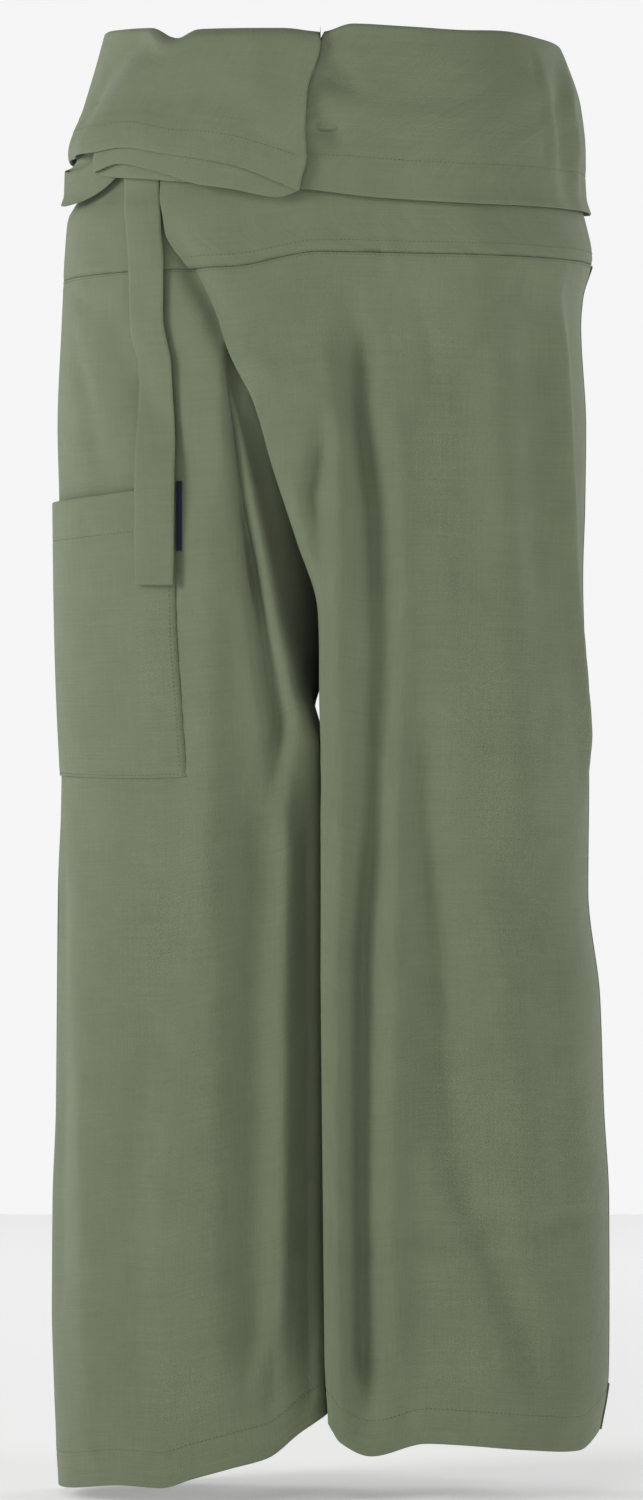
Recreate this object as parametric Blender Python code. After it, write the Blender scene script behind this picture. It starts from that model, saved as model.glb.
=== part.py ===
"""Thai fisherman trousers, filled out as when worn, with the front wrapped over and the waistband turned down.

Sizes are millimetres, turned to metres when a mesh is made. The front looks along -Y and the belt lies
at height 0. Left and right are the wearer's, so the right leg has negative x.

Every piece is drawn on the body of the garment: "across" is the distance round it from the middle of the
front (or of the back), "out" is the distance outside it, and "height" is the height above the belt.
"""

import math

import bmesh
import bpy
import numpy as np

TO_METRES = 0.001
CLOTH = 1.4
SEAM_GAP = 0.3
HALF_SEAM = SEAM_GAP / 2
HALF_BAND_SEAM = 0.35
STACKED = (CLOTH + SEAM_GAP) / 2
CLOTH_COLOUR = (0.165, 0.192, 0.118, 1.0)
TAB_COLOUR = (0.012, 0.016, 0.035, 1.0)


def table(columns, rows):
    """A short table as one array for each named column, from the lowest first value to the highest."""
    values = np.array(sorted(rows), float)
    return dict(zip(columns.split(), values.T))


def read(rows, column, where):
    """A column's value at a height or place, on a smooth line through the rows that never overshoots."""
    x, y = list(rows.values())[0], rows[column]
    step, rise = np.diff(x), np.diff(y)
    slope = rise / step
    before, after = slope[:-1], slope[1:]
    same_way = before * after > 0
    inner = np.where(same_way, 2 * before * after / np.where(same_way, before + after, 1), 0)
    tangent = np.concatenate([slope[:1], inner, slope[-1:]])
    where = np.clip(where, x[0], x[-1])
    i = np.clip(np.searchsorted(x, where, side="right") - 1, 0, len(step) - 1)
    t = (where - x[i]) / step[i]
    lift = (t - 1) ** 2 * t * tangent[i] + (t - 1) * t**2 * tangent[i + 1]
    return y[i] + rise[i] * t * t * (3 - 2 * t) + step[i] * lift


def ramp(value, start, end):
    """0 at the start and 1 at the end, with a soft change between."""
    t = np.clip((value - start) / (end - start), 0, 1)
    return t * t * (3 - 2 * t)


# The body: how far its sides reach to the left and right of the middle, and its depth to the front and back.
BODY = table("height right_side left_side front back", [
    (64, -136.5, 145, 98, 104),
    (40, -143, 156, 101, 106),
    (10, -152, 165.5, 104, 108),
    (-20, -162, 168.5, 106, 110),
    (-35, -159.5, 168.5, 107, 111),
    (-48, -160, 169, 108, 113),
    (-64, -167.5, 173.5, 110, 115),
    (-88, -169.5, 178, 112, 118),
    (-115, -170.7, 171.6, 113, 120),
    (-132, -171.5, 170.3, 114, 121),
    (-200, -174.2, 173.6, 116, 124),
    (-250, -173, 173, 115, 122),
    (-300, -172.5, 171.6, 112, 118),
    (-365, -172, 173.6, 103, 107),
    (-430, -171.6, 175.6, 96, 98),
    (-505, -174.2, 175, 92, 94),
    (-575, -174.9, 182.8, 90, 92),
    (-650, -175.6, 185.5, 88, 90),
    (-710, -177.8, 188.8, 87, 89),
    (-775, -178.2, 189, 86, 88),
    (-825, -176.8, 188.6, 85, 87),
    (-860, -175.4, 183, 84, 86),
    (-897, -173.6, 177, 84, 86),
])

# The largest folds: a run of (across, height) points, how wide the fold is and how far it stands out or sinks.
FRONT_FOLDS = [
    ([(20, -125), (24, -190), (33, -255), (37, -350), (34, -450), (27, -540), (26, -700), (27, -850)], 11, -8),
    ([(46, -170), (47, -440), (42, -700), (46, -840)], 13, 4),
    ([(60, -380), (62, -450), (72, -550), (78, -650), (105, -720), (122, -770), (146, -830)], 13, -5),
    ([(170, -110), (176, -200), (186, -290), (198, -380), (206, -440)], 9, 4),
    ([(146, -130), (150, -220), (160, -320)], 14, -4),
    ([(-48, -440), (-48, -560), (-49, -720), (-42, -810)], 16, -7),
    ([(-27, -480), (-28, -650), (-30, -800)], 9, 3),
    ([(-110, -560), (-125, -700), (-120, -840)], 20, -4),
    ([(-150, -130), (-120, -175), (-85, -235)], 15, -3),
    ([(20, -744), (60, -731), (110, -728), (190, -716)], 7, -2),
]
BACK_FOLDS = [
    ([(-60, -130), (-72, -260), (-80, -420)], 18, -6),
    ([(58, -120), (80, -280), (86, -450)], 18, -7),
    ([(-30, -420), (-42, -560), (-50, -760)], 15, -7),
    ([(34, -430), (44, -600), (40, -800)], 15, -8),
    ([(-120, -480), (-128, -640), (-110, -820)], 18, -4),
    ([(110, -470), (126, -640), (140, -820)], 20, -5),
]
FOLDS_END_IN = 45


def fold_relief(folds, across, height):
    """How far the folds push the cloth out at a place. A fold fades away over its last stretch."""
    relief = np.zeros(np.broadcast(across, height).shape)
    for run, width, size in folds:
        line_across, line_height = np.array(run, float).T
        along = np.concatenate([[0], np.cumsum(np.hypot(np.diff(line_across), np.diff(line_height)))])
        nearest = np.full(relief.shape, 1e9)
        place = np.zeros(relief.shape)
        for i in range(len(run) - 1):
            run_across, run_height = np.diff(line_across)[i], np.diff(line_height)[i]
            length = math.hypot(run_across, run_height)
            t = ((across - line_across[i]) * run_across + (height - line_height[i]) * run_height) / length**2
            t = np.clip(t, 0, 1)
            away = np.hypot(across - line_across[i] - t * run_across, height - line_height[i] - t * run_height)
            place = np.where(away < nearest, along[i] + t * length, place)
            nearest = np.minimum(away, nearest)
        fade = np.minimum(place, along[-1] - place) / FOLDS_END_IN
        relief += size * np.exp(-((nearest / width) ** 2)) * (0.25 + 0.75 * ramp(fade, 0, 1))
    return relief


def on_body(across, out, height, back=False):
    """The point (x, y, z) at a place on the garment, beyond the side seam too."""
    across, out, height = np.broadcast_arrays(*(np.asarray(v, float) for v in (across, out, height)))
    right_side, left_side = read(BODY, "right_side", height), read(BODY, "left_side", height)
    near, far = read(BODY, "front", height), read(BODY, "back", height)
    if back:
        near, far = far, near
    folds = BACK_FOLDS if back else FRONT_FOLDS
    out = out + fold_relief(folds, across, height) * ramp(out, -60, -8)
    on_right, on_left = right_side + near - across, across - (left_side - near)
    turned = np.maximum(np.maximum(on_right, on_left), 0) / near
    past = np.maximum(turned - math.pi / 2, 0) * near / far
    turned = np.minimum(turned, math.pi / 2)
    sideways = np.where(past > 0, far * (1 - np.cos(past)), 0)
    reach = (near + out) * np.sin(turned) - sideways - np.where(past > 0, out * (1 - np.cos(past)), 0)
    x = np.where(on_right > 0, right_side + near - reach, np.where(on_left > 0, left_side - near + reach, across))
    y = -(near + out) * np.cos(turned) + (far + out) * np.sin(past)
    return np.stack([x, -y if back else y, height], axis=-1)


def side_seam(height, side, back=False):
    """Where the side seam lies, measured across."""
    depth = read(BODY, "back" if back else "front", height)
    at_right, at_left = read(BODY, "right_side", height), read(BODY, "left_side", height)
    quarter = depth * (math.pi / 2 - 1)
    return at_right - quarter if side == "right" else at_left + quarter


def sideways(across, height, back=False):
    """x of a place on the body, without its folds."""
    depth = read(BODY, "back" if back else "front", height)
    middle_right = read(BODY, "right_side", height) + depth
    middle_left = read(BODY, "left_side", height) - depth
    on_right = middle_right - depth * np.sin(np.clip((middle_right - across) / depth, 0, math.pi / 2))
    on_left = middle_left + depth * np.sin(np.clip((across - middle_left) / depth, 0, math.pi / 2))
    return np.where(across < middle_right, on_right, np.where(across > middle_left, on_left, across))


# The seam that joins the waistband to the legs, and the two hems, by x.
BAND_SEAM = table("x height", [(-176, -104), (-110, -102), (-60, -101), (0, -91), (60, -92), (176, -93)])
RIGHT_HEM = table("x height", [
    (-174, -896), (-129, -890), (-105, -891), (-84, -885), (-58, -878), (-35, -872), (-14, -856), (5, -844),
])
LEFT_HEM = table("x height", [
    (4, -848), (12, -861), (32, -870), (68, -862), (90, -863), (135, -867), (170, -870), (184, -857),
    (189, -845),
])
BAND_SEAM_MIDDLE, HEM_MIDDLE = -98, -868


def leg_height(leg, across, fall, back=False):
    """Height of a point of a leg that is a given share of the way down from the waistband seam to the hem."""
    x = sideways(across, BAND_SEAM_MIDDLE + fall * (HEM_MIDDLE - BAND_SEAM_MIDDLE), back)
    top = read(BAND_SEAM, "height", x) - HALF_BAND_SEAM
    hem = read(RIGHT_HEM if leg == "right" else LEFT_HEM, "height", x)
    return top + fall * (hem - top)


# The wrap: the folded edge of the left leg's front, how far it stands out and how wide it rolls, where
# the lifted cloth begins to fall and has fallen, the centre seam behind it, its depth inside the body and
# its lean, and the ridge of the right leg's front beside it with the length of its soft turn.
CROTCH = -368
THROUGH = 200
WRAP = table("height edge lift roll near far right_seam left_seam seam_in lean ridge soft", [
    (-98, -85, 6, 1.5, -12, 50, -16, -16, -1, 0, -55, 9),
    (-127, -70, 7.5, 2.5, -10, 48, -16, -16, 3, 10, -60, 8),
    (-155, -60, 9, 3.5, -9, 46, -15, -15, 9, 25, -62, 7),
    (-188, -44, 10, 4, -5, 45, -13, -13, 20, 45, -55, 7),
    (-229, -32, 11, 5, 2, 48, -10, -10, 36, 62, -46, 8),
    (-278, -16, 11, 6, 12, 55, -6, -6, 60, 78, -35, 8),
    (-326, -1, 9, 7, 20, 60, -2, -2, 84, 88, -26, 9),
    (-352, 0, 7, 8, 20, 60, -1, -1, 96, 90, -20, 10),
    (CROTCH, 0, 6, 8, 20, 60, -1, -1, THROUGH, 90, -17, 10),
    (-382, 0, 5, 9, 22, 60, -4.5, -1, THROUGH, 90, -12, 11),
    (-394, 0, 5, 9, 22, 60, -5.5, -1, THROUGH, 90, -8, 12),
    (-408, 0, 4, 10, 24, 60, -2.5, -1, THROUGH, 90, -3.5, 14),
    (-500, 1.3, 3, 12, 26, 60, -1.5, 0.5, THROUGH, 90, -2.4, 22),
    (-690, 2.6, 3, 12, 26, 60, -0.5, 1.8, THROUGH, 90, -1.4, 24),
    (-880, 5.2, 3, 12, 26, 60, 2, 4.4, THROUGH, 90, 1.1, 24),
])
BACK_SEAM = table("height seam_in soft", [
    (-98, 8, 6), (-150, 10, 9), (-200, 17, 12), (-250, 32, 15), (-300, 55, 18), (-340, 84, 20),
    (CROTCH, THROUGH, 22), (-450, THROUGH, 30), (-880, THROUGH, 30),
])
LEG_ROWS = [
    -98, -114, -131, -149, -168, -189, -212, -237, -262, -287, -310, -330, -350, CROTCH, -381, -394, -410,
    -440, -478, -520, -568, -618, -672, -728, -782, -830, HEM_MIDDLE,
]


def settled(across, out, height, tall, back=False):
    """A place of a line drawn at one height, moved to where the cloth is that tall, with its seams kept."""
    half = "back" if back else "front"
    depth, new_depth = read(BODY, half, height), read(BODY, half, tall)
    right, left = side_seam(height, "right", back), side_seam(height, "left", back)
    new_right, new_left = side_seam(tall, "right", back), side_seam(tall, "left", back)
    to_right = np.clip((right + depth * math.pi / 2 - across) / (depth * math.pi / 2), 0, 1)
    to_left = np.clip((across - left + depth * math.pi / 2) / (depth * math.pi / 2), 0, 1)
    moved = across + (new_right - right) * to_right + (new_left - left) * to_left
    return moved, np.where(out < 0, out * new_depth / depth, out)


def leg_rows():
    """(fall, height at the wrap's edge) of each row of the leg panels."""
    rows = []
    for row in LEG_ROWS:
        fall = (row - BAND_SEAM_MIDDLE) / (HEM_MIDDLE - BAND_SEAM_MIDDLE)
        height = row
        for _ in range(3):
            height = float(leg_height("left", read(WRAP, "edge", height), fall))
        rows.append((fall, row if row == CROTCH else height))
    return rows


def rounded(corners, steps):
    """Points along a line of (across, out, soft) corners, each turned softly over its own soft length.

    steps holds the number of points on each straight stretch and each turn, in order."""
    places = [np.array(corner[:2], float) for corner in corners]
    points, start = [], places[0]
    for i in range(1, len(places)):
        last = i == len(places) - 1
        before = places[i] - places[i - 1]
        room = 0.48 * np.linalg.norm(before)
        soft = 0 if last else min(corners[i][2], room, 0.48 * np.linalg.norm(places[i + 1] - places[i]))
        stop = places[i] - before / np.linalg.norm(before) * soft
        count = steps[2 * i - 2]
        points += [start + (stop - start) * k / count for k in range(count)]
        start = stop
        if not last:
            after = places[i + 1] - places[i]
            end = places[i] + after / np.linalg.norm(after) * soft
            count = steps[2 * i - 1]
            for k in range(count):
                t = k / count
                points.append((1 - t) ** 2 * stop + 2 * t * (1 - t) * places[i] + t * t * end)
            start = end
    return np.array(points + [places[-1]])


def both_faces(line, thickness=CLOTH):
    """The two faces of a wall along a line of (across, out) points: the outer one first."""
    step = np.diff(line, axis=0)
    step /= np.linalg.norm(step, axis=1)[:, None]
    sides = np.stack([-step[:, 1], step[:, 0]], axis=1)
    normal = np.concatenate([sides[:1], sides[:-1] + sides[1:], sides[-1:]])
    normal /= np.linalg.norm(normal, axis=1)[:, None]
    widen = np.ones(len(line))
    widen[1:-1] = 1 / np.maximum(0.8, np.sum(normal[1:-1] * sides[1:], axis=1))
    shift = normal * widen[:, None] * thickness / 2
    return line + shift, line - shift


def material(name, colour):
    made = bpy.data.materials.new(name)
    made.use_nodes = True
    shader = made.node_tree.nodes["Principled BSDF"]
    shader.inputs["Base Color"].default_value = colour
    shader.inputs["Roughness"].default_value = 0.9
    made.diffuse_color = colour
    return made


def wall(name, outer, inner, finish):
    """One closed solid from two grids of points in millimetres that face each other."""
    rows, columns = outer.shape[:2]
    mesh = bmesh.new()
    faces = [[[mesh.verts.new(point * TO_METRES) for point in row] for row in grid] for grid in (outer, inner)]
    first, second = faces

    def quad(a, b, c, d):
        mesh.faces.new((a, b, c))
        mesh.faces.new((a, c, d))

    for i in range(rows - 1):
        for j in range(columns - 1):
            quad(first[i][j], first[i + 1][j], first[i + 1][j + 1], first[i][j + 1])
            quad(second[i][j], second[i][j + 1], second[i + 1][j + 1], second[i + 1][j])
    for i in range(rows - 1):
        for j in (0, columns - 1):
            quad(first[i][j], second[i][j], second[i + 1][j], first[i + 1][j])
    for j in range(columns - 1):
        for i in (0, rows - 1):
            quad(first[i][j], first[i][j + 1], second[i][j + 1], second[i][j])
    bmesh.ops.recalc_face_normals(mesh, faces=mesh.faces[:])
    data = bpy.data.meshes.new(name)
    mesh.to_mesh(data)
    mesh.free()
    data.materials.append(finish)
    made = bpy.data.objects.new(name, data)
    bpy.context.scene.collection.objects.link(made)
    made.parent = bpy.data.objects.get("garment")
    return made


POCKET_SIDE = table("height across", [
    (-98, -112), (-180, -100), (-238, -95.5), (-310, -94.5), (-360, -91), (-430, -86.5), (-880, -88),
])
COLUMNS_TO_POCKET = 9


def front_right_line(height):
    """The right leg's front, from the side seam to the centre seam or inseam."""
    start = side_seam(height, "right") + HALF_SEAM
    pocket_side = read(POCKET_SIDE, "across", height)
    seam, lean = seam_place("right_seam", height, "front")
    along = np.array([math.cos(lean), -math.sin(lean)])
    away = np.array([math.sin(lean), math.cos(lean)])
    end = seam - STACKED * away
    ridge, soft = read(WRAP, "ridge", height), read(WRAP, "soft", height)
    corners = [(pocket_side, 0, 0), (ridge, 0, soft), (*(end - 10 * along), 6), (*end, 0)]
    rest = rounded(corners, [5, 4, 3, 2, 2])
    side = [(start + (pocket_side - start) * k / COLUMNS_TO_POCKET, 0) for k in range(COLUMNS_TO_POCKET)]
    return np.array(side + list(rest))


def seam_place(column, height, half):
    """(across, out) of the centre seam or inseam, and the seam's lean in radians."""
    full = read(BODY, half, height) - HALF_SEAM
    depth = read(WRAP if half == "front" else BACK_SEAM, "seam_in", height)
    place = np.array([read(WRAP, column, height), -min(depth, full)])
    return place, math.radians(read(WRAP, "lean", height))


def front_left_line(height):
    """The left leg's front, from the centre seam or inseam round the wrap's edge to the side seam."""
    seam, lean = seam_place("left_seam", height, "front")
    along = np.array([math.cos(lean), -math.sin(lean)])
    away = np.array([math.sin(lean), math.cos(lean)])
    start = seam + STACKED * away
    edge, lift, roll, near, far = (read(WRAP, name, height) for name in ("edge", "lift", "roll", "near", "far"))
    corners = [
        (*start, 0),
        (*(start - 10 * along), 6),
        (edge, lift - 2 * roll, roll),
        (edge, lift, roll),
        (near, lift, 12),
        (far, 0, 20),
        (side_seam(height, "left") - HALF_SEAM, 0, 0),
    ]
    return rounded(corners, [2, 2, 3, 3, 1, 3, 2, 2, 2, 3, 9])


def back_line(leg, height):
    """A leg's back, from the side seam to the centre seam or inseam."""
    seam, _ = seam_place(leg + "_seam", height, "back")
    inner = seam[0] + (-STACKED if leg == "right" else STACKED)
    gap = HALF_SEAM if leg == "right" else -HALF_SEAM
    corners = [
        (side_seam(height, leg, back=True) + gap, 0, 0),
        (inner, 0, read(BACK_SEAM, "soft", height)),
        (inner, seam[1], 0),
    ]
    return rounded(corners, [10, 4, 2])


def leg_panel(name, leg, line, finish, back=False):
    """One leg panel, made row by row from its line at each height. Returns the places of its middle."""
    outer, inner, places = [], [], []
    for fall, height in leg_rows():
        middle = line(height)
        for side, rows in zip(both_faces(middle), (outer, inner)):
            tall = leg_height(leg, middle[:, 0], fall, back)
            rows.append(on_body(*settled(side[:, 0], side[:, 1], height, tall, back), tall, back))
        places.append(np.column_stack([settled(middle[:, 0], middle[:, 1], height, tall, back)[0], tall]))
    wall(name, np.array(outer), np.array(inner), finish)
    return np.array(places)


# The waistband front: three layers of one piece, folded at the wrap's two edges, stand one outside the
# other and are then turned down together, which puts the inner layer outermost.
PITCH = 3.0
TURNED_GAP = 5.3
WAIST_WRAP = table("height edge fold", [
    (60, -84, -1), (49, -85, -1), (10, -94, -6), (-41, -104, -12), (-73, -101.5, -14), (-94, -90, -14),
    (-98, -87, -14.5), (-110, -80, -14.5),
])
TURNED_WRAP = table("height edge fold", [
    (60, -84, -1), (49, -84, -1.3), (20, -108, -9.5), (-8, -134, -11), (-22, -142, -10), (-34, -149, -13),
    (-52, -150, -16.7),
])
BAND_TOP = table("across height", [
    (-215, 61), (-185, 60), (-155, 58.5), (-115, 56.5), (-90, 48), (-77, 53.5), (-25, 53.5), (0, 51),
    (20, 56.5), (56, 55), (90, 53.5), (123, 54.5), (165, 52), (215, 51),
])
BAND_HEMS = {
    "inner": table("across height", [
        (-230, -24), (-183, -24), (-148, -23.8), (-125, -22), (-97, -27), (-58, -35), (-16, -51.5),
    ]),
    "middle": table("across height", [
        (-147, -36), (-130, -32), (-100, -39), (-78, -47), (-58, -50.5), (-28, -56), (-16, -52),
    ]),
    "outer": table("across height", [
        (-154, -36), (-137, -40), (-117, -42), (-77, -46), (-15, -50), (36, -55.5), (113, -59), (240, -59),
    ]),
}
UPRIGHT_ROWS, FOLD_ROWS, TURNED_ROWS = 5, 5, 6


def stack_line(edge, fold, start, end):
    """(across, layer) points of the folded band: inner layer 0, middle layer 1, outer layer 2, in pitches."""
    half, turns = PITCH / 2, np.linspace(0, math.pi, 6)
    inner = [(start + (fold - half - start) * k / 11, 0) for k in range(11)]
    fold_turn = [(fold - half + half * math.sin(a), half * (1 - math.cos(a))) for a in turns]
    middle = [(fold - half + (edge - fold + 2 * half) * k / 5, PITCH) for k in range(1, 5)]
    edge_turn = [(edge + half - half * math.sin(a), PITCH + half * (1 - math.cos(a))) for a in turns]
    outer = [(edge + half + (end - edge - half) * k / 18, 2 * PITCH) for k in range(1, 19)]
    return np.array(inner + fold_turn + middle + edge_turn + outer)


def outer_layer_lift(across, fold):
    """1 where the outer layer lies on the others, 0 where it is alone."""
    return 1 - ramp(across, fold + 5, fold + 65)


def stack_lift(across, turned_edge):
    """1 where the turned-down layers lie on each other, 0 where the inner one is alone."""
    return ramp(across, turned_edge - 45, turned_edge - 5)


def band_depths(across, layer, fold, turned_edge):
    """How far out the band stands before and after it is turned down."""
    lift, stacked = outer_layer_lift(across, fold), stack_lift(across, turned_edge)
    upright = layer * lift
    turned = 2 * PITCH * lift * stacked + TURNED_GAP + (2 * PITCH - layer) * stacked
    return upright, turned


def band_hem(across, layer):
    """Height of the turned-down edge in each layer."""
    inner, middle, outer = (read(BAND_HEMS[name], "height", across) for name in ("inner", "middle", "outer"))
    share = layer / PITCH
    return np.where(share < 1, inner + (middle - inner) * share, middle + (outer - middle) * (share - 1))


def band_rows():
    """(stage, share) of each row of the band: up the inside, over the fold and down outside."""
    rows = [("upright", k / UPRIGHT_ROWS) for k in range(UPRIGHT_ROWS)]
    rows += [("fold", k / FOLD_ROWS) for k in range(FOLD_ROWS)]
    return rows + [("turned", k / TURNED_ROWS) for k in range(TURNED_ROWS + 1)]


def waistband_front(finish):
    outer, inner = [], []
    top_edge, top_fold = WAIST_WRAP["edge"][-1], WAIST_WRAP["fold"][-1]
    for stage, share in band_rows():
        height, edge, fold, turned_edge = 50.0, top_edge, top_fold, top_edge
        if stage == "upright":
            height = -98 + share * 148
            edge, fold = read(WAIST_WRAP, "edge", height), read(WAIST_WRAP, "fold", height)
        if stage == "turned":
            height = 50 - share * 92
            edge, fold = read(TURNED_WRAP, "edge", height), read(TURNED_WRAP, "fold", height)
            turned_edge = edge
        ends = side_seam(height, "right") + HALF_SEAM, side_seam(height, "left") - HALF_SEAM
        line = stack_line(edge, fold, *ends)
        across, layer = line.T
        upright, turned = band_depths(across, layer, fold, turned_edge)
        crown = np.where(across < fold, (TURNED_GAP + 4 * PITCH * stack_lift(across, turned_edge)) / 2,
                         TURNED_GAP / 2)
        fold_height = read(BAND_TOP, "height", across) - crown
        seam_height = read(BAND_SEAM, "height", sideways(across, BAND_SEAM_MIDDLE)) + HALF_BAND_SEAM
        hem_height = band_hem(across, layer)
        for side, rows in zip(both_faces(line), (outer, inner)):
            shift_across, shift = (side - line).T
            radius = (turned - upright) / 2 - shift
            middle = (turned + upright) / 2
            if stage == "upright":
                out, tall = upright + shift, seam_height + share * (fold_height - seam_height)
            elif stage == "fold":
                out = middle - radius * math.cos(share * math.pi)
                tall = fold_height + radius * math.sin(share * math.pi)
            else:
                out, tall = turned - shift, fold_height + share * (hem_height - fold_height)
            moved = settled(across + shift_across, out, height, tall)[0]
            rows.append(on_body(moved, out, tall))
    wall("waistband_front", np.array(outer), np.array(inner), finish)


BACK_TOP = table("across height", [(-230, 61), (-150, 55), (0, 52), (150, 50), (230, 51)])
BACK_BAND_HEM = table("across height", [(-230, -24), (-120, -31), (0, -40), (120, -52), (230, -59)])


def waistband_back(finish):
    outer, inner = [], []
    for stage, share in band_rows():
        height = {"upright": -98 + share * 148, "fold": 50.0, "turned": 50 - share * 92}[stage]
        start = side_seam(height, "right", back=True) + HALF_SEAM
        end = side_seam(height, "left", back=True) - HALF_SEAM
        across = np.linspace(start, end, 25)
        fold_height = read(BACK_TOP, "height", across) - TURNED_GAP / 2
        seam_height = read(BAND_SEAM, "height", sideways(across, BAND_SEAM_MIDDLE, back=True)) + HALF_BAND_SEAM
        hem_height = read(BACK_BAND_HEM, "height", across)
        for shift, rows in ((CLOTH / 2, outer), (-CLOTH / 2, inner)):
            radius = TURNED_GAP / 2 - shift
            if stage == "upright":
                out, tall = shift, seam_height + share * (fold_height - seam_height)
            elif stage == "fold":
                out = TURNED_GAP / 2 - radius * math.cos(share * math.pi)
                tall = fold_height + radius * math.sin(share * math.pi)
            else:
                out, tall = TURNED_GAP - shift, fold_height + share * (hem_height - fold_height)
            moved = settled(across, out, height, tall, back=True)[0]
            rows.append(on_body(moved, out, tall, back=True))
    wall("waistband_back", np.array(outer), np.array(inner), finish)


# The pocket lies on the right front leg and wraps past the side seam on to the back leg.
POCKET_ON_BACK = 30
POCKET_TOP = table("across height", [(-280, -251), (-193, -250), (-150, -247), (-119, -243), (-94, -239.5)])
POCKET_BOTTOM = table("across height", [(-280, -428), (-199, -430), (-144, -431), (-86, -429)])
POCKET_LIES = CLOTH + SEAM_GAP
POCKET_PUFF = 4.2


def pocket(panel, finish):
    """The pocket's wall, made from the leg's own points moved out. Its mouth and middle stand off."""
    grid = panel[:, : COLUMNS_TO_POCKET + 1]
    side, heights = grid[:, 0].T
    extra = [np.column_stack([side - POCKET_ON_BACK * k / 3, heights]) for k in (3, 2, 1)]
    grid = np.concatenate([np.stack(extra, axis=1), grid], axis=1)
    columns = grid.shape[1]
    highest = read(POCKET_TOP, "height", grid[0, :, 0])
    lowest = read(POCKET_BOTTOM, "height", grid[0, :, 0])
    inside = np.all((grid[:, :, 1] < highest - 6) & (grid[:, :, 1] > lowest + 6), axis=1)
    between = np.flatnonzero(inside)
    rows = []
    for k in range(len(between) + 2):
        row = []
        for j in range(columns):
            acrosses, heights = grid[::-1, j].T
            if k == 0:
                height = highest[j]
            elif k == len(between) + 1:
                height = lowest[j]
            else:
                height = grid[between[k - 1], j, 1]
            row.append((np.interp(height, heights, acrosses), height))
        rows.append(row)
    places = np.array(rows)
    across, height = places[:, :, 0], places[:, :, 1]
    u = np.linspace(0, 1, columns)[None, :]
    v = (highest - height) / (highest - lowest)
    puff = POCKET_PUFF * np.sin(math.pi * u) ** 0.7 * (1 - v**3)
    middle = POCKET_LIES + puff
    wall("pocket", on_body(across, middle + CLOTH / 2, height), on_body(across, middle - CLOTH / 2, height), finish)


# The plain tab is sewn into the pocket's edge and stands up from the leg beside it.
TAB_WIDE, TAB_TALL, TAB_TOP, TAB_THICK = 4.0, 45.0, -239.0, 1.0


def side_tab(finish):
    height = np.linspace(TAB_TOP, TAB_TOP - TAB_TALL, 5)[:, None]
    start = read(POCKET_SIDE, "across", height) + 1.0
    across = start + np.array([[0, TAB_WIDE / 2, TAB_WIDE]])
    lies = CLOTH / 2 + SEAM_GAP + 0.4 + TAB_THICK / 2
    height = np.broadcast_to(height, across.shape)
    wall("side_tab", on_body(across, lies + TAB_THICK / 2, height), on_body(across, lies - TAB_THICK / 2, height), finish)


# The tie: a sewn strip round the waist in the gap of the turned-down band, knotted at the wearer's right.
STRIP = 1.6
STRIP_WIDE = 25.0
KNOT_AT, KNOT_WIDE, KNOT_WALL = -121.0, 14.0, 1.4
BELT_BETWEEN = 3.0


def belt_out(across):
    """How far out the belt runs at the front: over the inner layer, then over the outer layer of the wrap."""
    return TURNED_GAP / 2 + 2 * PITCH * ramp(across, -146, -96) * outer_layer_lift(across, -4)


def strip_ring(across, out, height_middle, back, half_wide, thickness):
    """Outer and inner faces of an upright strip along the places across."""
    faces = []
    for shift in (thickness / 2, -thickness / 2):
        columns = [on_body(across, out + shift, height_middle + side * half_wide, back) for side in (-1, 0, 1)]
        faces.append(np.stack(columns, axis=1))
    return faces


def tie_belt(finish):
    """The strip from one side of the knot round the whole waist to its other side."""
    start, end = side_seam(0, "right"), side_seam(0, "left")
    back_start, back_end = side_seam(0, "right", back=True), side_seam(0, "left", back=True)
    left = np.concatenate([KNOT_AT + KNOT_WIDE * np.array([0.06, 0.25, 0.5]), np.linspace(-108, end, 28)])
    behind = np.linspace(back_end, back_start, 24)[1:]
    right = np.concatenate([np.linspace(start, -134, 8)[1:], KNOT_AT - KNOT_WIDE * np.array([0.5, 0.25, 0.06])])
    runs = [
        strip_ring(left, belt_out(left), 0.0, False, STRIP_WIDE / 2, STRIP),
        strip_ring(behind, TURNED_GAP / 2, 0.0, True, STRIP_WIDE / 2, STRIP),
        strip_ring(right, belt_out(right), 0.0, False, STRIP_WIDE / 2, STRIP),
    ]
    outer, inner = (np.concatenate([run[face] for run in runs]) for face in (0, 1))
    wall("tie_belt", outer, inner, finish)


def tie_knot(finish):
    """The turn of the strip that holds the bow: a flat ring about the belt."""
    across = KNOT_AT + KNOT_WIDE * np.linspace(-0.5, 0.5, 5)
    deep, tall = STRIP / 2 + SEAM_GAP, STRIP_WIDE / 2 + SEAM_GAP
    faces = []
    for extra in (KNOT_WALL, 0):
        corner = [(tall + extra, deep + extra), (-tall - extra, deep + extra),
                  (-tall - extra, -deep - extra), (tall + extra, -deep - extra)]
        rows = []
        for height, out in corner:
            rows.append(on_body(across, belt_out(across) + out, height))
        faces.append(np.array(rows))
    closed_ring("tie_knot", *faces, finish)


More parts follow.
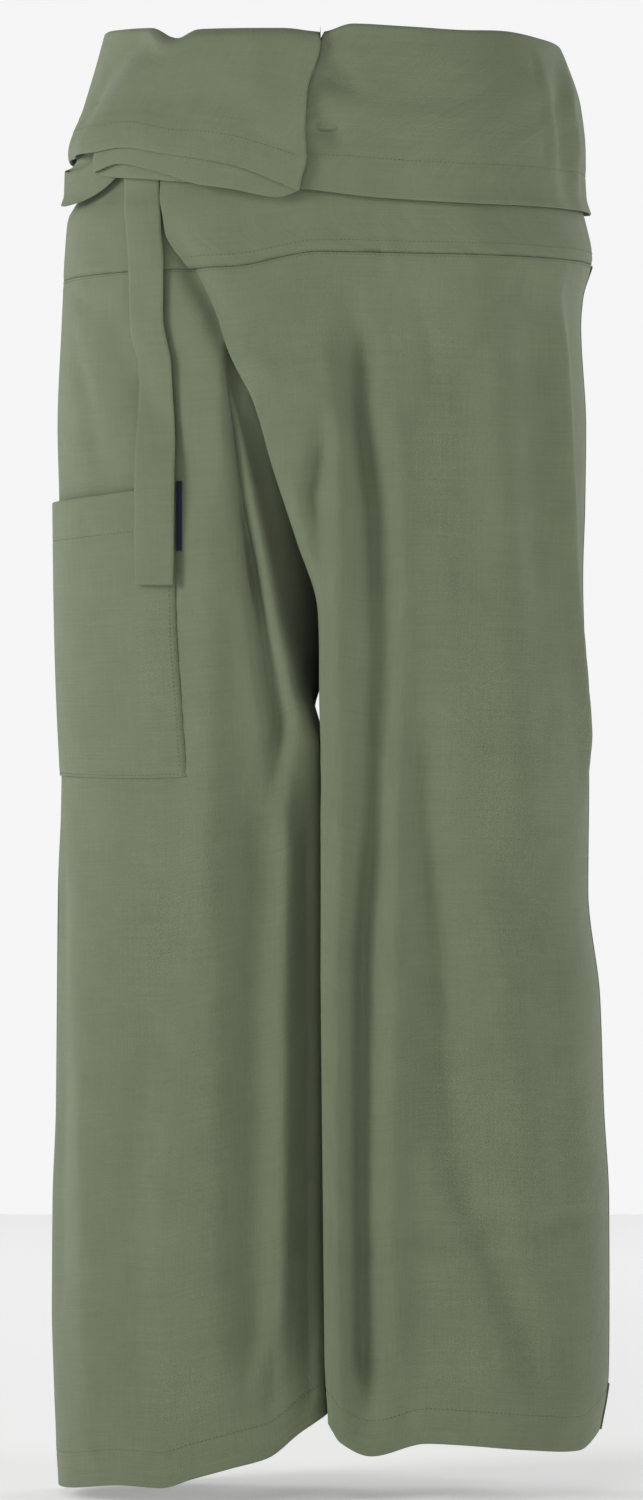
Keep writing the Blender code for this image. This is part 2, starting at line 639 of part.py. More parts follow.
def closed_ring(name, outer, inner, finish):
    """A solid like wall(), but whose last row meets its first."""
    rows, columns = outer.shape[:2]
    mesh = bmesh.new()
    first, second = ([[mesh.verts.new(p * TO_METRES) for p in row] for row in grid] for grid in (outer, inner))
    for i in range(rows):
        k = (i + 1) % rows
        for j in range(columns - 1):
            mesh.faces.new((first[i][j], first[k][j], first[k][j + 1], first[i][j + 1]))
            mesh.faces.new((second[i][j], second[i][j + 1], second[k][j + 1], second[k][j]))
        for j in (0, columns - 1):
            mesh.faces.new((first[i][j], second[i][j], second[k][j], first[k][j]))
    bmesh.ops.recalc_face_normals(mesh, faces=mesh.faces[:])
    data = bpy.data.meshes.new(name)
    mesh.to_mesh(data)
    mesh.free()
    data.materials.append(finish)
    made = bpy.data.objects.new(name, data)
    bpy.context.scene.collection.objects.link(made)
    made.parent = bpy.data.objects.get("garment")


TAIL = table("height start end out", [
    (-15, -130, -107, 6), (-40, -131, -105, 6), (-76, -128, -104, 5.5), (-100, -127, -102, 4.5),
    (-133, -127, -102, 4), (-146, -127, -100, 4), (-163, -123, -96.5, 4.5), (-198, -121, -95.5, 5),
    (-228, -120, -94, 7.5), (-250, -119.5, -93.5, 8.5), (-284, -120, -93.5, 8.2), (-306, -120, -94, 7.8),
])


def tie_tail(finish):
    """The free end that hangs over the leg and the pocket."""
    height = np.linspace(TAIL["height"][-1], TAIL["height"][0], 24)[:, None]
    start, end, out = (read(TAIL, name, height) for name in ("start", "end", "out"))
    across = start + (end - start) * np.linspace(0, 1, 4)[None, :]
    height = np.broadcast_to(height, across.shape)
    wall("tie_tail", on_body(across, out + STRIP / 2, height), on_body(across, out - STRIP / 2, height), finish)


LOOP_THICK = 1.2
LOOP = [
    (-143, -30, 6.4, 45), (-152, -36, 6.4, 40), (-164, -41, 7, 30), (-178, -44, 8.5, 15), (-191, -45, 10.4, 5),
    (-199, -44, 11.4, 0), (-204, -43, 9.8, 0), (-205, -42, 7.4, 0), (-201, -41, 5.4, 0), (-190, -38, 4.2, 10),
    (-175, -34, 3.6, 20), (-160, -28, 3.3, 30), (-149, -24, 3.3, 40),
]


def tie_loop(finish):
    """The half bow: the strip goes out, turns back on itself and comes in behind. Columns as in LOOP are
    across, height, out and the tilt of the strip's width in degrees."""
    across, height, out, tilt = np.array(LOOP, float).T
    run, rise = np.gradient(across), np.gradient(out)
    length = np.hypot(run, rise)
    normal_across, normal_out = -rise / length, run / length
    half = STRIP_WIDE / 2 - 1
    faces = []
    for shift in (LOOP_THICK / 2, -LOOP_THICK / 2):
        columns = []
        for side in (-1, -0.33, 0.33, 1):
            wide_across = side * half * np.sin(np.radians(tilt))
            wide_height = -side * half * np.cos(np.radians(tilt))
            columns.append(on_body(across + wide_across + shift * normal_across, out + shift * normal_out,
                                   height + wide_height))
        faces.append(np.stack(columns, axis=1))
    wall("tie_loop", *faces, finish)


def clear_scene():
    for old in list(bpy.data.objects):
        bpy.data.objects.remove(old, do_unlink=True)


def build():
    clear_scene()
    garment = bpy.data.objects.new("garment", None)
    bpy.context.scene.collection.objects.link(garment)
    cotton = material("olive_cotton", CLOTH_COLOUR)
    navy = material("navy_tape", TAB_COLOUR)
    panel = leg_panel("front_leg_right", "right", front_right_line, cotton)
    leg_panel("front_leg_left", "left", front_left_line, cotton)
    leg_panel("back_leg_right", "right", lambda height: back_line("right", height), cotton, back=True)
    leg_panel("back_leg_left", "left", lambda height: back_line("left", height), cotton, back=True)
    waistband_front(cotton)
    waistband_back(cotton)
    pocket(panel, cotton)
    side_tab(navy)
    tie_belt(cotton)
    tie_knot(cotton)
    tie_tail(cotton)
    tie_loop(cotton)


build()
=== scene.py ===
"""Thai fisherman trousers in olive cotton, filled out as when worn, on a pale floor.

Tables and sizes are millimetres and turn to metres as each mesh is made. The front looks along -Y and
height 0 is the middle of the tie. Left and right are the wearer's, so the right leg has negative x.
"""

import math

import bpy
import numpy as np
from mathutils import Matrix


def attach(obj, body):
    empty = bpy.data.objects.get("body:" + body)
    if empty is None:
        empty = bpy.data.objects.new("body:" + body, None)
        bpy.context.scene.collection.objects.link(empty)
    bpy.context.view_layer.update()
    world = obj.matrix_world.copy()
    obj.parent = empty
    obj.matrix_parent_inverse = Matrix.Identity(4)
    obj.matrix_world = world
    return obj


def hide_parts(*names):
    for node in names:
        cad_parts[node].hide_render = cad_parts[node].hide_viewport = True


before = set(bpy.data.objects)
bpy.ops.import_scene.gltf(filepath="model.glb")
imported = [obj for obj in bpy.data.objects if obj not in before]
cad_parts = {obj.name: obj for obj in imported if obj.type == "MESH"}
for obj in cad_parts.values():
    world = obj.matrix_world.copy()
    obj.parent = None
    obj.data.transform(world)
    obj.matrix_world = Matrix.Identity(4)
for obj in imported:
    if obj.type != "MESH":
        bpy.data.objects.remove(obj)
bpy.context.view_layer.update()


# The camera stands five metres in front of the middle of the garment, as far off as a shop's
# studio camera, with a long lens that frames it from just above the band to just below the hems.
CAMERA_AT = (-0.0003, -5.0, -0.4125)
FRAME_TALL = 0.99
SENSOR = 36.0

camera = bpy.data.objects.new("studio_camera", bpy.data.cameras.new("studio_camera"))
camera.location = CAMERA_AT
camera.rotation_euler = (math.radians(90), 0, 0)
camera.data.sensor_width = SENSOR
camera.data.lens = -CAMERA_AT[1] * SENSOR / FRAME_TALL
camera.data.clip_end = 200
bpy.context.scene.collection.objects.link(camera)
bpy.context.scene.camera = camera


# The front of the right leg: one wide panel of plain-weave cotton, sewn to the back at the side, to the
# waistband above and to the other leg at the centre seam, which the wrap hides. Its inner edge turns
# softly in to the inseam, and its hem is turned up twice and stitched.
TO_METRES = 0.001
PLY = 0.7
HALF_SEAM = 0.05
HALF_BAND_SEAM = 0.12
STACKED = 0.4


def table(columns, rows):
    """A short table as one array for each named column, from the lowest first value to the highest."""
    values = np.array(sorted(rows), float)
    return dict(zip(columns.split(), values.T))


def read(rows, column, where):
    """A column's value at a height or place, on a smooth line through the rows that never overshoots."""
    x, y = list(rows.values())[0], rows[column]
    step, rise = np.diff(x), np.diff(y)
    slope = rise / step
    before, after = slope[:-1], slope[1:]
    same_way = before * after > 0
    inner = np.where(same_way, 2 * before * after / np.where(same_way, before + after, 1), 0)
    tangent = np.concatenate([slope[:1], inner, slope[-1:]])
    where = np.clip(where, x[0], x[-1])
    i = np.clip(np.searchsorted(x, where, side="right") - 1, 0, len(step) - 1)
    t = (where - x[i]) / step[i]
    lift = (t - 1) ** 2 * t * tangent[i] + (t - 1) * t**2 * tangent[i + 1]
    return y[i] + rise[i] * t * t * (3 - 2 * t) + step[i] * lift


def ramp(value, start, end):
    """0 at the start and 1 at the end, with a soft change between."""
    t = np.clip((value - start) / (end - start), 0, 1)
    return t * t * (3 - 2 * t)


# How far the body of the garment reaches to the right and left of the middle, and to the front and back.
BODY = table("height right_side left_side front back", [
    (64, -136.5, 145, 98, 104),
    (40, -143, 156, 101, 106),
    (10, -152, 165.5, 104, 108),
    (-20, -162, 168.5, 106, 110),
    (-35, -159.5, 168.5, 107, 111),
    (-48, -160, 169, 108, 113),
    (-64, -167.5, 173.5, 110, 115),
    (-88, -169.5, 178, 112, 118),
    (-115, -170.7, 171.6, 113, 120),
    (-132, -171.5, 170.3, 114, 121),
    (-200, -174.2, 173.6, 116, 124),
    (-250, -173, 173, 115, 122),
    (-300, -172.5, 171.6, 112, 118),
    (-365, -172, 173.6, 103, 107),
    (-430, -171.6, 175.6, 96, 98),
    (-505, -174.2, 175, 92, 94),
    (-575, -174.9, 182.8, 90, 92),
    (-650, -175.6, 185.5, 88, 90),
    (-710, -177.8, 188.8, 87, 89),
    (-775, -178.2, 189, 86, 88),
    (-825, -176.8, 188.6, 85, 87),
    (-860, -175.4, 183, 84, 86),
    (-897, -173.6, 177, 84, 86),
])

# Folds are runs of (across, height) points with a width and how far the cloth stands out or sinks.
FRONT_FOLDS = [
    ([(20, -125), (24, -190), (33, -255), (37, -350), (34, -450), (27, -540), (26, -700), (27, -850)], 11, -8),
    ([(46, -170), (47, -440), (42, -700), (46, -840)], 13, 4),
    ([(60, -380), (62, -450), (72, -550), (78, -650), (105, -720), (122, -770), (146, -830)], 13, -5),
    ([(170, -110), (176, -200), (186, -290), (198, -380), (206, -440)], 9, 4),
    ([(146, -130), (150, -220), (160, -320)], 14, -4),
    ([(-110, -560), (-125, -700), (-120, -840)], 20, -4),
    ([(-150, -130), (-120, -175), (-85, -235)], 15, -3),
    ([(20, -744), (60, -731), (110, -728), (190, -716)], 7, -2),
]
BACK_FOLDS = [
    ([(-60, -130), (-72, -260), (-80, -420)], 18, -6),
    ([(58, -120), (80, -280), (86, -450)], 18, -7),
    ([(-30, -420), (-42, -560), (-50, -760)], 15, -7),
    ([(34, -430), (44, -600), (40, -800)], 15, -8),
    ([(-120, -480), (-128, -640), (-110, -820)], 18, -4),
    ([(110, -470), (126, -640), (140, -820)], 20, -5),
]
# Smaller creases, from handling and from the pull of the seams.
FRONT_FOLDS += [
    ([(-103, -68), (-90, -93), (-80, -111), (-69, -130), (-61, -152), (-55, -172)], 9, -5),
    ([(34, -62), (36, -81), (40, -98), (45, -122)], 3, -0.8),
    ([(40, -64), (43, -90), (49, -118)], 5, 0.8),
    ([(-206, -470), (-200, -620), (-196, -800)], 16, -2.2),
    ([(-168, -600), (-160, -720), (-158, -850)], 12, 1.6),
    ([(-84, -250), (-78, -380), (-84, -520)], 12, 1.8),
    ([(-29, -780), (-34, -846)], 5, -1.6),
    ([(-36, -770), (-44, -850)], 7, 1.2),
    ([(92, -130), (98, -230), (96, -330)], 18, -2.2),
    ([(118, -180), (126, -320), (132, -470)], 16, 2),
    ([(112, -500), (120, -600), (140, -690)], 12, 1.6),
    ([(62, -110), (70, -150), (74, -200)], 7, -1.2),
    ([(150, -560), (160, -640), (172, -760)], 14, -1.8),
    ([(14, -735), (58, -722), (106, -718.6), (198, -713.7)], 1.6, -0.5),
    ([(84, -640), (100, -690), (112, -742)], 5, 0.9),
    ([(36, -800), (52, -835), (60, -865)], 8, -1.4),
    ([(-190, -140), (-168, -190), (-150, -240)], 9, -1.2),
    ([(-200, -108), (-170, -124), (-140, -128)], 7, -0.9),
    ([(128, -104), (112, -130), (104, -160)], 5, -0.9),
]
BACK_FOLDS += [
    ([(0, -110), (4, -180), (2, -260)], 14, -2.4),
    ([(-110, -120), (-104, -230), (-120, -330)], 14, -2),
    ([(124, -130), (132, -260), (128, -380)], 15, 1.8),
    ([(-92, -430), (-96, -590), (-86, -760)], 13, 2),
    ([(78, -480), (88, -640), (92, -800)], 14, 2.4),
    ([(-170, -380), (-166, -560), (-172, -780)], 13, -1.8),
    ([(170, -300), (176, -520), (168, -760)], 14, -2),
    ([(-186, -706), (-120, -716), (-20, -724)], 2, -0.5),
    ([(20, -730), (110, -722), (196, -716)], 2, -0.5),
    ([(40, -96), (48, -126), (60, -160)], 5, -0.9),
]
FOLDS_END_IN = 45
FOLD_DEPTH = 1.8


def fold_relief(folds, across, height):
    """How far the folds push the cloth out at a place. A fold fades away over its last stretch."""
    across, height = np.broadcast_arrays(across, height)
    relief = np.zeros(across.shape)
    for run, width, size in folds:
        line_across, line_height = np.array(run, float).T
        reach = 3 * width
        near = (across > line_across.min() - reach) & (across < line_across.max() + reach)
        near &= (height > line_height.min() - reach) & (height < line_height.max() + reach)
        if not near.any():
            continue
        here_across, here_height = across[near], height[near]
        along = np.concatenate([[0], np.cumsum(np.hypot(np.diff(line_across), np.diff(line_height)))])
        nearest = np.full(here_across.shape, 1e9)
        place = np.zeros(here_across.shape)
        for i in range(len(run) - 1):
            run_across, run_height = np.diff(line_across)[i], np.diff(line_height)[i]
            from_across, from_height = here_across - line_across[i], here_height - line_height[i]
            length = math.hypot(run_across, run_height)
            t = np.clip((from_across * run_across + from_height * run_height) / length**2, 0, 1)
            away = np.hypot(from_across - t * run_across, from_height - t * run_height)
            place = np.where(away < nearest, along[i] + t * length, place)
            nearest = np.minimum(away, nearest)
        ends_in = min(FOLDS_END_IN, 0.45 * along[-1])
        fade = np.minimum(place, along[-1] - place) / ends_in
        relief[near] += FOLD_DEPTH * size * np.exp(-((nearest / width) ** 2)) * (0.25 + 0.75 * ramp(fade, 0, 1))
    return relief


def on_body(across, out, height, back=False):
    """The point (x, y, z) at a place on the garment: the distance round it from the middle, the distance
    out from it and the height. It goes on beyond the side seam too."""
    across, out, height = np.broadcast_arrays(*(np.asarray(v, float) for v in (across, out, height)))
    right_side, left_side = read(BODY, "right_side", height), read(BODY, "left_side", height)
    near, far = read(BODY, "front", height), read(BODY, "back", height)
    if back:
        near, far = far, near
    folds = BACK_FOLDS if back else FRONT_FOLDS
    out = out + fold_relief(folds, across, height) * ramp(out, -60, -8)
    on_right, on_left = right_side + near - across, across - (left_side - near)
    turned = np.maximum(np.maximum(on_right, on_left), 0) / near
    past = np.maximum(turned - math.pi / 2, 0) * near / far
    turned = np.minimum(turned, math.pi / 2)
    come_back = np.where(past > 0, (far + out) * (1 - np.cos(past)), 0)
    reach = (near + out) * np.sin(turned) - come_back
    x = np.where(on_right > 0, right_side + near - reach, np.where(on_left > 0, left_side - near + reach, across))
    y = -(near + out) * np.cos(turned) + (far + out) * np.sin(past)
    return np.stack([x, -y if back else y, height], axis=-1)


def side_seam(height, side, back=False):
    """Where the side seam lies, measured across."""
    depth = read(BODY, "back" if back else "front", height)
    at_right, at_left = read(BODY, "right_side", height), read(BODY, "left_side", height)
    quarter = depth * (math.pi / 2 - 1)
    return at_right - quarter if side == "right" else at_left + quarter


def sideways(across, height, back=False):
    """x of a place on the body, without its folds."""
    depth = read(BODY, "back" if back else "front", height)
    middle_right = read(BODY, "right_side", height) + depth
    middle_left = read(BODY, "left_side", height) - depth
    on_right = middle_right - depth * np.sin(np.clip((middle_right - across) / depth, 0, math.pi / 2))
    on_left = middle_left + depth * np.sin(np.clip((across - middle_left) / depth, 0, math.pi / 2))
    return np.where(across < middle_right, on_right, np.where(across > middle_left, on_left, across))


# The seam under the waistband and the two hems, by x.
BAND_SEAM = table("x height", [(-176, -104), (-110, -102), (-60, -101), (0, -91), (60, -92), (176, -93)])
RIGHT_HEM = table("x height", [
    (-174, -896), (-129, -890), (-105, -891), (-84, -885), (-58, -878), (-35, -872), (-14, -856), (5, -844),
])
LEFT_HEM = table("x height", [
    (4, -848), (12, -861), (32, -870), (68, -862), (90, -863), (135, -867), (170, -870), (184, -857),
    (189, -845),
])
BAND_SEAM_MIDDLE, HEM_MIDDLE = -98, -868
LEG_LENGTH = BAND_SEAM_MIDDLE - HEM_MIDDLE


def leg_height(leg, across, fall, back=False):
    """Height of a point of a leg that is a given share of the way down from the waistband seam to the hem."""
    x = sideways(across, BAND_SEAM_MIDDLE - fall * LEG_LENGTH, back)
    top = read(BAND_SEAM, "height", x) - HALF_BAND_SEAM
    hem = read(RIGHT_HEM if leg == "right" else LEFT_HEM, "height", x)
    return top + fall * (hem - top)


# The wrap: the folded edge of the left leg's front, how far it stands out and how wide it rolls, where
# the lifted cloth begins to fall and has fallen, the centre seam behind it, its depth inside the body and
# its lean, and the ridge of the right leg's front beside it with the length of its soft turn.
CROTCH = -368
THROUGH = 200
WRAP = table("height edge lift roll near far right_seam left_seam seam_in lean ridge soft", [
    (-98, -85, 6, 1.5, -12, 50, -16, -16, -1, 0, -55, 9),
    (-127, -70, 7.5, 2.5, -10, 48, -16, -16, 3, 10, -60, 8),
    (-155, -60, 9, 3.5, -9, 46, -15, -15, 9, 25, -62, 7),
    (-188, -44, 10, 4, -5, 45, -13, -13, 20, 45, -55, 7),
    (-229, -32, 11, 5, 2, 48, -10, -10, 36, 62, -46, 8),
    (-278, -16, 11, 6, 12, 55, -6, -6, 60, 78, -35, 8),
    (-326, -1, 9, 7, 20, 60, -2, -2, 84, 88, -26, 9),
    (-352, 0, 7, 8, 20, 60, -1, -1, 96, 90, -20, 10),
    (CROTCH, 0, 6, 8, 20, 60, -1, -1, THROUGH, 90, -17, 10),
    (-382, 0, 5, 9, 22, 60, -4.5, -1, THROUGH, 90, -12, 11),
    (-394, 0, 5, 9, 22, 60, -5.5, -1, THROUGH, 90, -8, 12),
    (-408, 0, 4, 10, 24, 60, -2.5, -1, THROUGH, 90, -3.5, 14),
    (-500, 1.3, 3, 12, 26, 60, -1.5, 0.5, THROUGH, 90, -2.4, 22),
    (-690, 2.6, 3, 12, 26, 60, -0.5, 1.8, THROUGH, 90, -1.4, 24),
    (-880, 5.2, 3, 12, 26, 60, 2, 4.4, THROUGH, 90, 1.1, 24),
])
# The right leg's front beside its ridge: where it begins to fall back, how far back its ridge lies, and
# how far in and how steeply its soft turn goes.
FALL_BACK = table("height start sink turn_in", [
    (-98, -75, 0, 2), (-160, -72, 0, 6), (-230, -62, 0, 14), (-300, -52, 0, 26), (-368, -44, 2, 34),
    (-400, -46, 7, 30), (-450, -60, 20, 24), (-560, -64, 27, 22), (-700, -64, 27, 22), (-800, -62, 22, 20),
    (-880, -56, 14, 16),
])
RIGHT_FOLDS = [
    ([(-60, -150), (-57, -194), (-52, -240), (-45, -280), (-40, -312)], 5, -5),
    ([(-50, -250), (-44, -285), (-39, -315), (-34, -350), (-28, -384), (-30, -430)], 7, -7),
    ([(-46, -400), (-48, -470), (-48, -560), (-49, -720), (-42, -810)], 14, -5),
    ([(-26, -430), (-27, -520), (-28, -650), (-30, -800)], 8, 5),
    ([(-8, -440), (-7, -600), (-7, -830)], 6, -3),
    ([(-60, -150), (-72, -260), (-70, -380), (-76, -520)], 12, 2.5),
]
BACK_SEAM = table("height seam_in soft", [
    (-98, 8, 6), (-150, 10, 9), (-200, 17, 12), (-250, 32, 15), (-300, 55, 18), (-340, 84, 20),
    (CROTCH, THROUGH, 22), (-450, THROUGH, 30), (-880, THROUGH, 30),
])


def settled(across, out, height, tall, back=False):
    """A place of a line drawn at one height, moved to where the cloth is that tall, with its seams kept."""
    half = "back" if back else "front"
    depth, new_depth = read(BODY, half, height), read(BODY, half, tall)
    right, left = side_seam(height, "right", back), side_seam(height, "left", back)
    new_right, new_left = side_seam(tall, "right", back), side_seam(tall, "left", back)
    to_right = np.clip((right + depth * math.pi / 2 - across) / (depth * math.pi / 2), 0, 1)
    to_left = np.clip((across - left + depth * math.pi / 2) / (depth * math.pi / 2), 0, 1)
    moved = across + (new_right - right) * to_right + (new_left - left) * to_left
    return moved, np.where(out < 0, out * new_depth / depth, out)


def rounded(corners, steps):
    """Points along a line of (across, out, soft) corners, each turned softly over its own soft length.

    steps holds the number of points on each straight stretch and each turn, in order."""
    places = [np.array(corner[:2], float) for corner in corners]
    points, start = [], places[0]
    for i in range(1, len(places)):
        last = i == len(places) - 1
        before = places[i] - places[i - 1]
        room = 0.48 * np.linalg.norm(before)
        soft = 0 if last else min(corners[i][2], room, 0.48 * np.linalg.norm(places[i + 1] - places[i]))
        stop = places[i] - before / np.linalg.norm(before) * soft
        count = steps[2 * i - 2]
        points += [start + (stop - start) * k / count for k in range(count)]
        start = stop
        if not last:
            after = places[i + 1] - places[i]
            end = places[i] + after / np.linalg.norm(after) * soft
            count = steps[2 * i - 1]
            for k in range(count):
                t = k / count
                points.append((1 - t) ** 2 * stop + 2 * t * (1 - t) * places[i] + t * t * end)
            start = end
    return np.array(points + [places[-1]])


def outward(line):
    """Unit vectors that point out of the cloth along a line of (across, out) points."""
    step = np.diff(line, axis=0)
    step /= np.linalg.norm(step, axis=1)[:, None]
    sides = np.stack([-step[:, 1], step[:, 0]], axis=1)
    normal = np.concatenate([sides[:1], sides[:-1] + sides[1:], sides[-1:]])
    return normal / np.linalg.norm(normal, axis=1)[:, None]


def ripple(along):
    """Uneven little waves of about unit size, as thread pulls into a seam."""
    waves = np.sin(along / 2.1) + np.sin(along / 3.3 + 1.0) + np.sin(along / 5.3 + 2.0)
    return waves / 2


def sewn_down(away, along):
    """How the cloth sinks under a line of stitches and puckers beside it."""
    return -0.3 * np.exp(-((away / 1.5) ** 2)) + 0.28 * ripple(along) * np.exp(-((away / 7) ** 2))


# Rows of the leg panels, by distance down the leg. They lie closer at the seam and at the hem, and the
# last ones go round the hem's edge and up inside as far as its stitches.
HEM_DEEP = 21.0
HEM_GAP = 0.95
SEAM_ROWS = np.arange(0, 16, 1.6)
HEM_ROWS = np.arange(LEG_LENGTH - 30, LEG_LENGTH + 0.1, 2.0)
MIDDLE_ROWS = np.linspace(16, LEG_LENGTH - 30, 196, endpoint=False)
DOWN_LEG = np.concatenate([SEAM_ROWS, MIDDLE_ROWS, HEM_ROWS])
HEM_TURN = [(HEM_GAP / 2 * (1 - math.cos(a)), HEM_GAP / 2 * math.sin(a)) for a in np.radians((40, 90, 140))]


def leg_rows():
    """(fall, inward, drop) of each row: down the outside, round the hem's edge and up inside it."""
    rows = [(distance / LEG_LENGTH, 0.0, 0.0) for distance in DOWN_LEG]
    rows += [(1.0, inward, drop) for inward, drop in HEM_TURN]
    return rows + [(1 - up / LEG_LENGTH, HEM_GAP, 0.0) for up in np.linspace(0, HEM_DEEP + 2, 6)]


def edge_height(fall):
    """Height at the wrap's edge of the row that is a given share of the way down."""
    height = BAND_SEAM_MIDDLE - fall * LEG_LENGTH
    for _ in range(3):
        height = float(leg_height("left", read(WRAP, "edge", height), fall))
    return height


def leg_panel(leg, line, back=False, own_folds=()):
    """Rows of points of one leg panel, the places (across, height) of its points and the flat cut."""
    points, places, flat = [], [], []
    for fall, inward, drop in leg_rows():
        height = edge_height(fall)
        middle = line(height)
        normal = outward(middle)
        run = np.concatenate([[0], np.cumsum(np.hypot(*np.diff(middle, axis=0).T))])
        from_side = run if middle[0, 1] == 0 and leg == "right" or back else run[-1] - run
        down = fall * LEG_LENGTH
        relief = sewn_down(down - (LEG_LENGTH - HEM_DEEP), run) + sewn_down(down - 2, run + 50)
        relief -= 0.5 * np.exp(-from_side / 2.0)
        relief += fold_relief(own_folds, middle[:, 0], np.full(len(run), float(height))) * ramp(middle[:, 1], -40, -12)
        sunk = middle + normal * (relief - inward)[:, None]
        tall = leg_height(leg, middle[:, 0], fall, back)
        across, out = settled(sunk[:, 0], sunk[:, 1], height, tall, back)
        points.append(on_body(across, out, tall - drop, back))
        places.append(np.column_stack([settled(middle[:, 0], middle[:, 1], height, tall, back)[0], tall]))
        beyond_hem = (2 * LEG_LENGTH - down) if inward else down
        flat.append(np.column_stack([from_side, np.full(len(run), -beyond_hem)]))
    return np.array(points), np.array(places), np.array(flat)


# The cloth: medium plain-weave cotton, dyed olive, matt, with thicker slubs both ways and a little
# mottling from washing.
COTTON_LIGHT = (0.170, 0.204, 0.124)
COTTON_DARK = (0.132, 0.160, 0.095)
THREADS_PER_METRE = 1250


def node(tree, kind, inputs=None, **settings):
    made = tree.nodes.new(kind)
    for name, value in settings.items():
        setattr(made, name, value)
    for name, value in (inputs or {}).items():
        if isinstance(value, bpy.types.NodeSocket):
            tree.links.new(value, made.inputs[name])
        else:
            made.inputs[name].default_value = value
    return made


def sum_of(tree, terms):
    """The weighted sum of several sockets."""
    total = None
    for socket, weight in terms:
        term = node(tree, "ShaderNodeMath", {0: socket, 1: weight}, operation="MULTIPLY").outputs[0]
        total = term if total is None else node(tree, "ShaderNodeMath", {0: total, 1: term}).outputs[0]
    return total


def streaks(tree, uv, scale, detail=2.0):
    """Noise on the flat cloth, stretched by its own scale across and along the grain."""
    stretched = node(tree, "ShaderNodeMapping", {"Vector": uv, "Scale": (*scale, 1.0)})
    return node(tree, "ShaderNodeTexNoise", {"Vector": stretched.outputs[0], "Scale": 1.0, "Detail": detail}).outputs[0]


def woven_cotton(name, light, dark):
    made = bpy.data.materials.new(name)
    made.use_nodes = True
    tree = made.node_tree
    shader = tree.nodes["Principled BSDF"]
    uv = node(tree, "ShaderNodeTexCoord").outputs["UV"]
    angle = math.tau * THREADS_PER_METRE / 2
    apart = node(tree, "ShaderNodeSeparateXYZ", {0: uv})
    threads = []
    for side in ("X", "Y"):
        turned = node(tree, "ShaderNodeMath", {0: apart.outputs[side], 1: angle}, operation="MULTIPLY")
        threads.append(node(tree, "ShaderNodeMath", {0: turned.outputs[0]}, operation="SINE").outputs[0])
    weave = node(tree, "ShaderNodeMath", {0: threads[0], 1: threads[1]}, operation="MULTIPLY").outputs[0]
    slub_up = streaks(tree, uv, (900, 26))
    slub_across = streaks(tree, uv, (22, 1000))
    mottle = streaks(tree, uv, (38, 30), 4.0)
    cloud = streaks(tree, uv, (9, 7), 3.0)
    tone = sum_of(tree, [(slub_up, 0.8), (slub_across, 0.9), (mottle, 0.8), (cloud, 0.6), (weave, 0.12)])
    colours = node(tree, "ShaderNodeValToRGB", {0: tone})
    colours.color_ramp.elements[0].position = 1.15
    colours.color_ramp.elements[1].position = 1.95
    spread = node(tree, "ShaderNodeMapRange", {"Value": tone, "From Min": 1.1, "From Max": 2.0})
    mixed = node(tree, "ShaderNodeMix", {0: spread.outputs[0]}, data_type="RGBA")
    mixed.inputs["A"].default_value = (*dark, 1)
    mixed.inputs["B"].default_value = (*light, 1)
    tree.nodes.remove(colours)
    tree.links.new(mixed.outputs["Result"], shader.inputs["Base Color"])
    rough = node(tree, "ShaderNodeMapRange", {"Value": mottle, "To Min": 0.86, "To Max": 0.98})
    tree.links.new(rough.outputs[0], shader.inputs["Roughness"])
    shader.inputs["Specular IOR Level"].default_value = 0.25
    shader.inputs["Sheen Weight"].default_value = 0.12
    shader.inputs["Sheen Roughness"].default_value = 0.6
    creased = streaks(tree, uv, (22, 17), 3.0)
    height = sum_of(tree, [(weave, 0.10), (slub_up, 0.22), (slub_across, 0.22), (creased, 4.0)])
    bump = node(tree, "ShaderNodeBump", {"Height": height, "Strength": 0.6, "Distance": 0.001})
    tree.links.new(bump.outputs[0], shader.inputs["Normal"])
    return made


olive_cotton = woven_cotton("olive_cotton", COTTON_LIGHT, COTTON_DARK)


def mesh_object(name, points, faces, finish, flat=None):
    """A smooth-shaded mesh from points in millimetres, with the flat cloth as its UV map."""
    data = bpy.data.meshes.new(name)
    data.from_pydata((points * TO_METRES).tolist(), [], faces)
    if flat is not None:
        corner = np.zeros(len(data.loops), int)
        data.loops.foreach_get("vertex_index", corner)
        layer = data.uv_layers.new(name="flat_cloth")
        layer.data.foreach_set("uv", (flat[corner] * TO_METRES).ravel())
    data.shade_smooth()
    data.materials.append(finish)
    made = bpy.data.objects.new(name, data)
    bpy.context.scene.collection.objects.link(made)
    return made


def cloth(name, points, flat, finish, turned_round=False, ply=PLY):
    """A thin shell of cloth from a grid of points, with its own ply as thickness."""
    rows, columns = points.shape[:2]
    index = np.arange(rows * columns).reshape(rows, columns)
    faces = np.stack([index[:-1, :-1], index[1:, :-1], index[1:, 1:], index[:-1, 1:]], axis=-1).reshape(-1, 4)
    if turned_round:
        faces = faces[:, ::-1]
    made = mesh_object(name, points.reshape(-1, 3), faces.tolist(), finish, flat.reshape(-1, 2))
    thick = made.modifiers.new("ply", "SOLIDIFY")
    thick.thickness = ply * TO_METRES
    thick.offset = 0
    return made


def declare(piece):
    """The piece rides on the one body and stands for its solid, which is hidden."""
    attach(piece, "root")
    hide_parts(piece.name.removesuffix("_cloth"))


POCKET_SIDE = table("height across", [
    (-98, -112), (-180, -100), (-238, -95.5), (-310, -94.5), (-360, -91), (-430, -86.5), (-880, -88),
])
TO_POCKET_SIDE = 34


def seam_place(column, height, half):
    """(across, out) of the centre seam or inseam, and the seam's lean in radians."""
    full = read(BODY, half, height) - HALF_SEAM
    depth = read(WRAP if half == "front" else BACK_SEAM, "seam_in", height)
    place = np.array([read(WRAP, column, height), -min(depth, full)])
    return place, math.radians(read(WRAP, "lean", height))


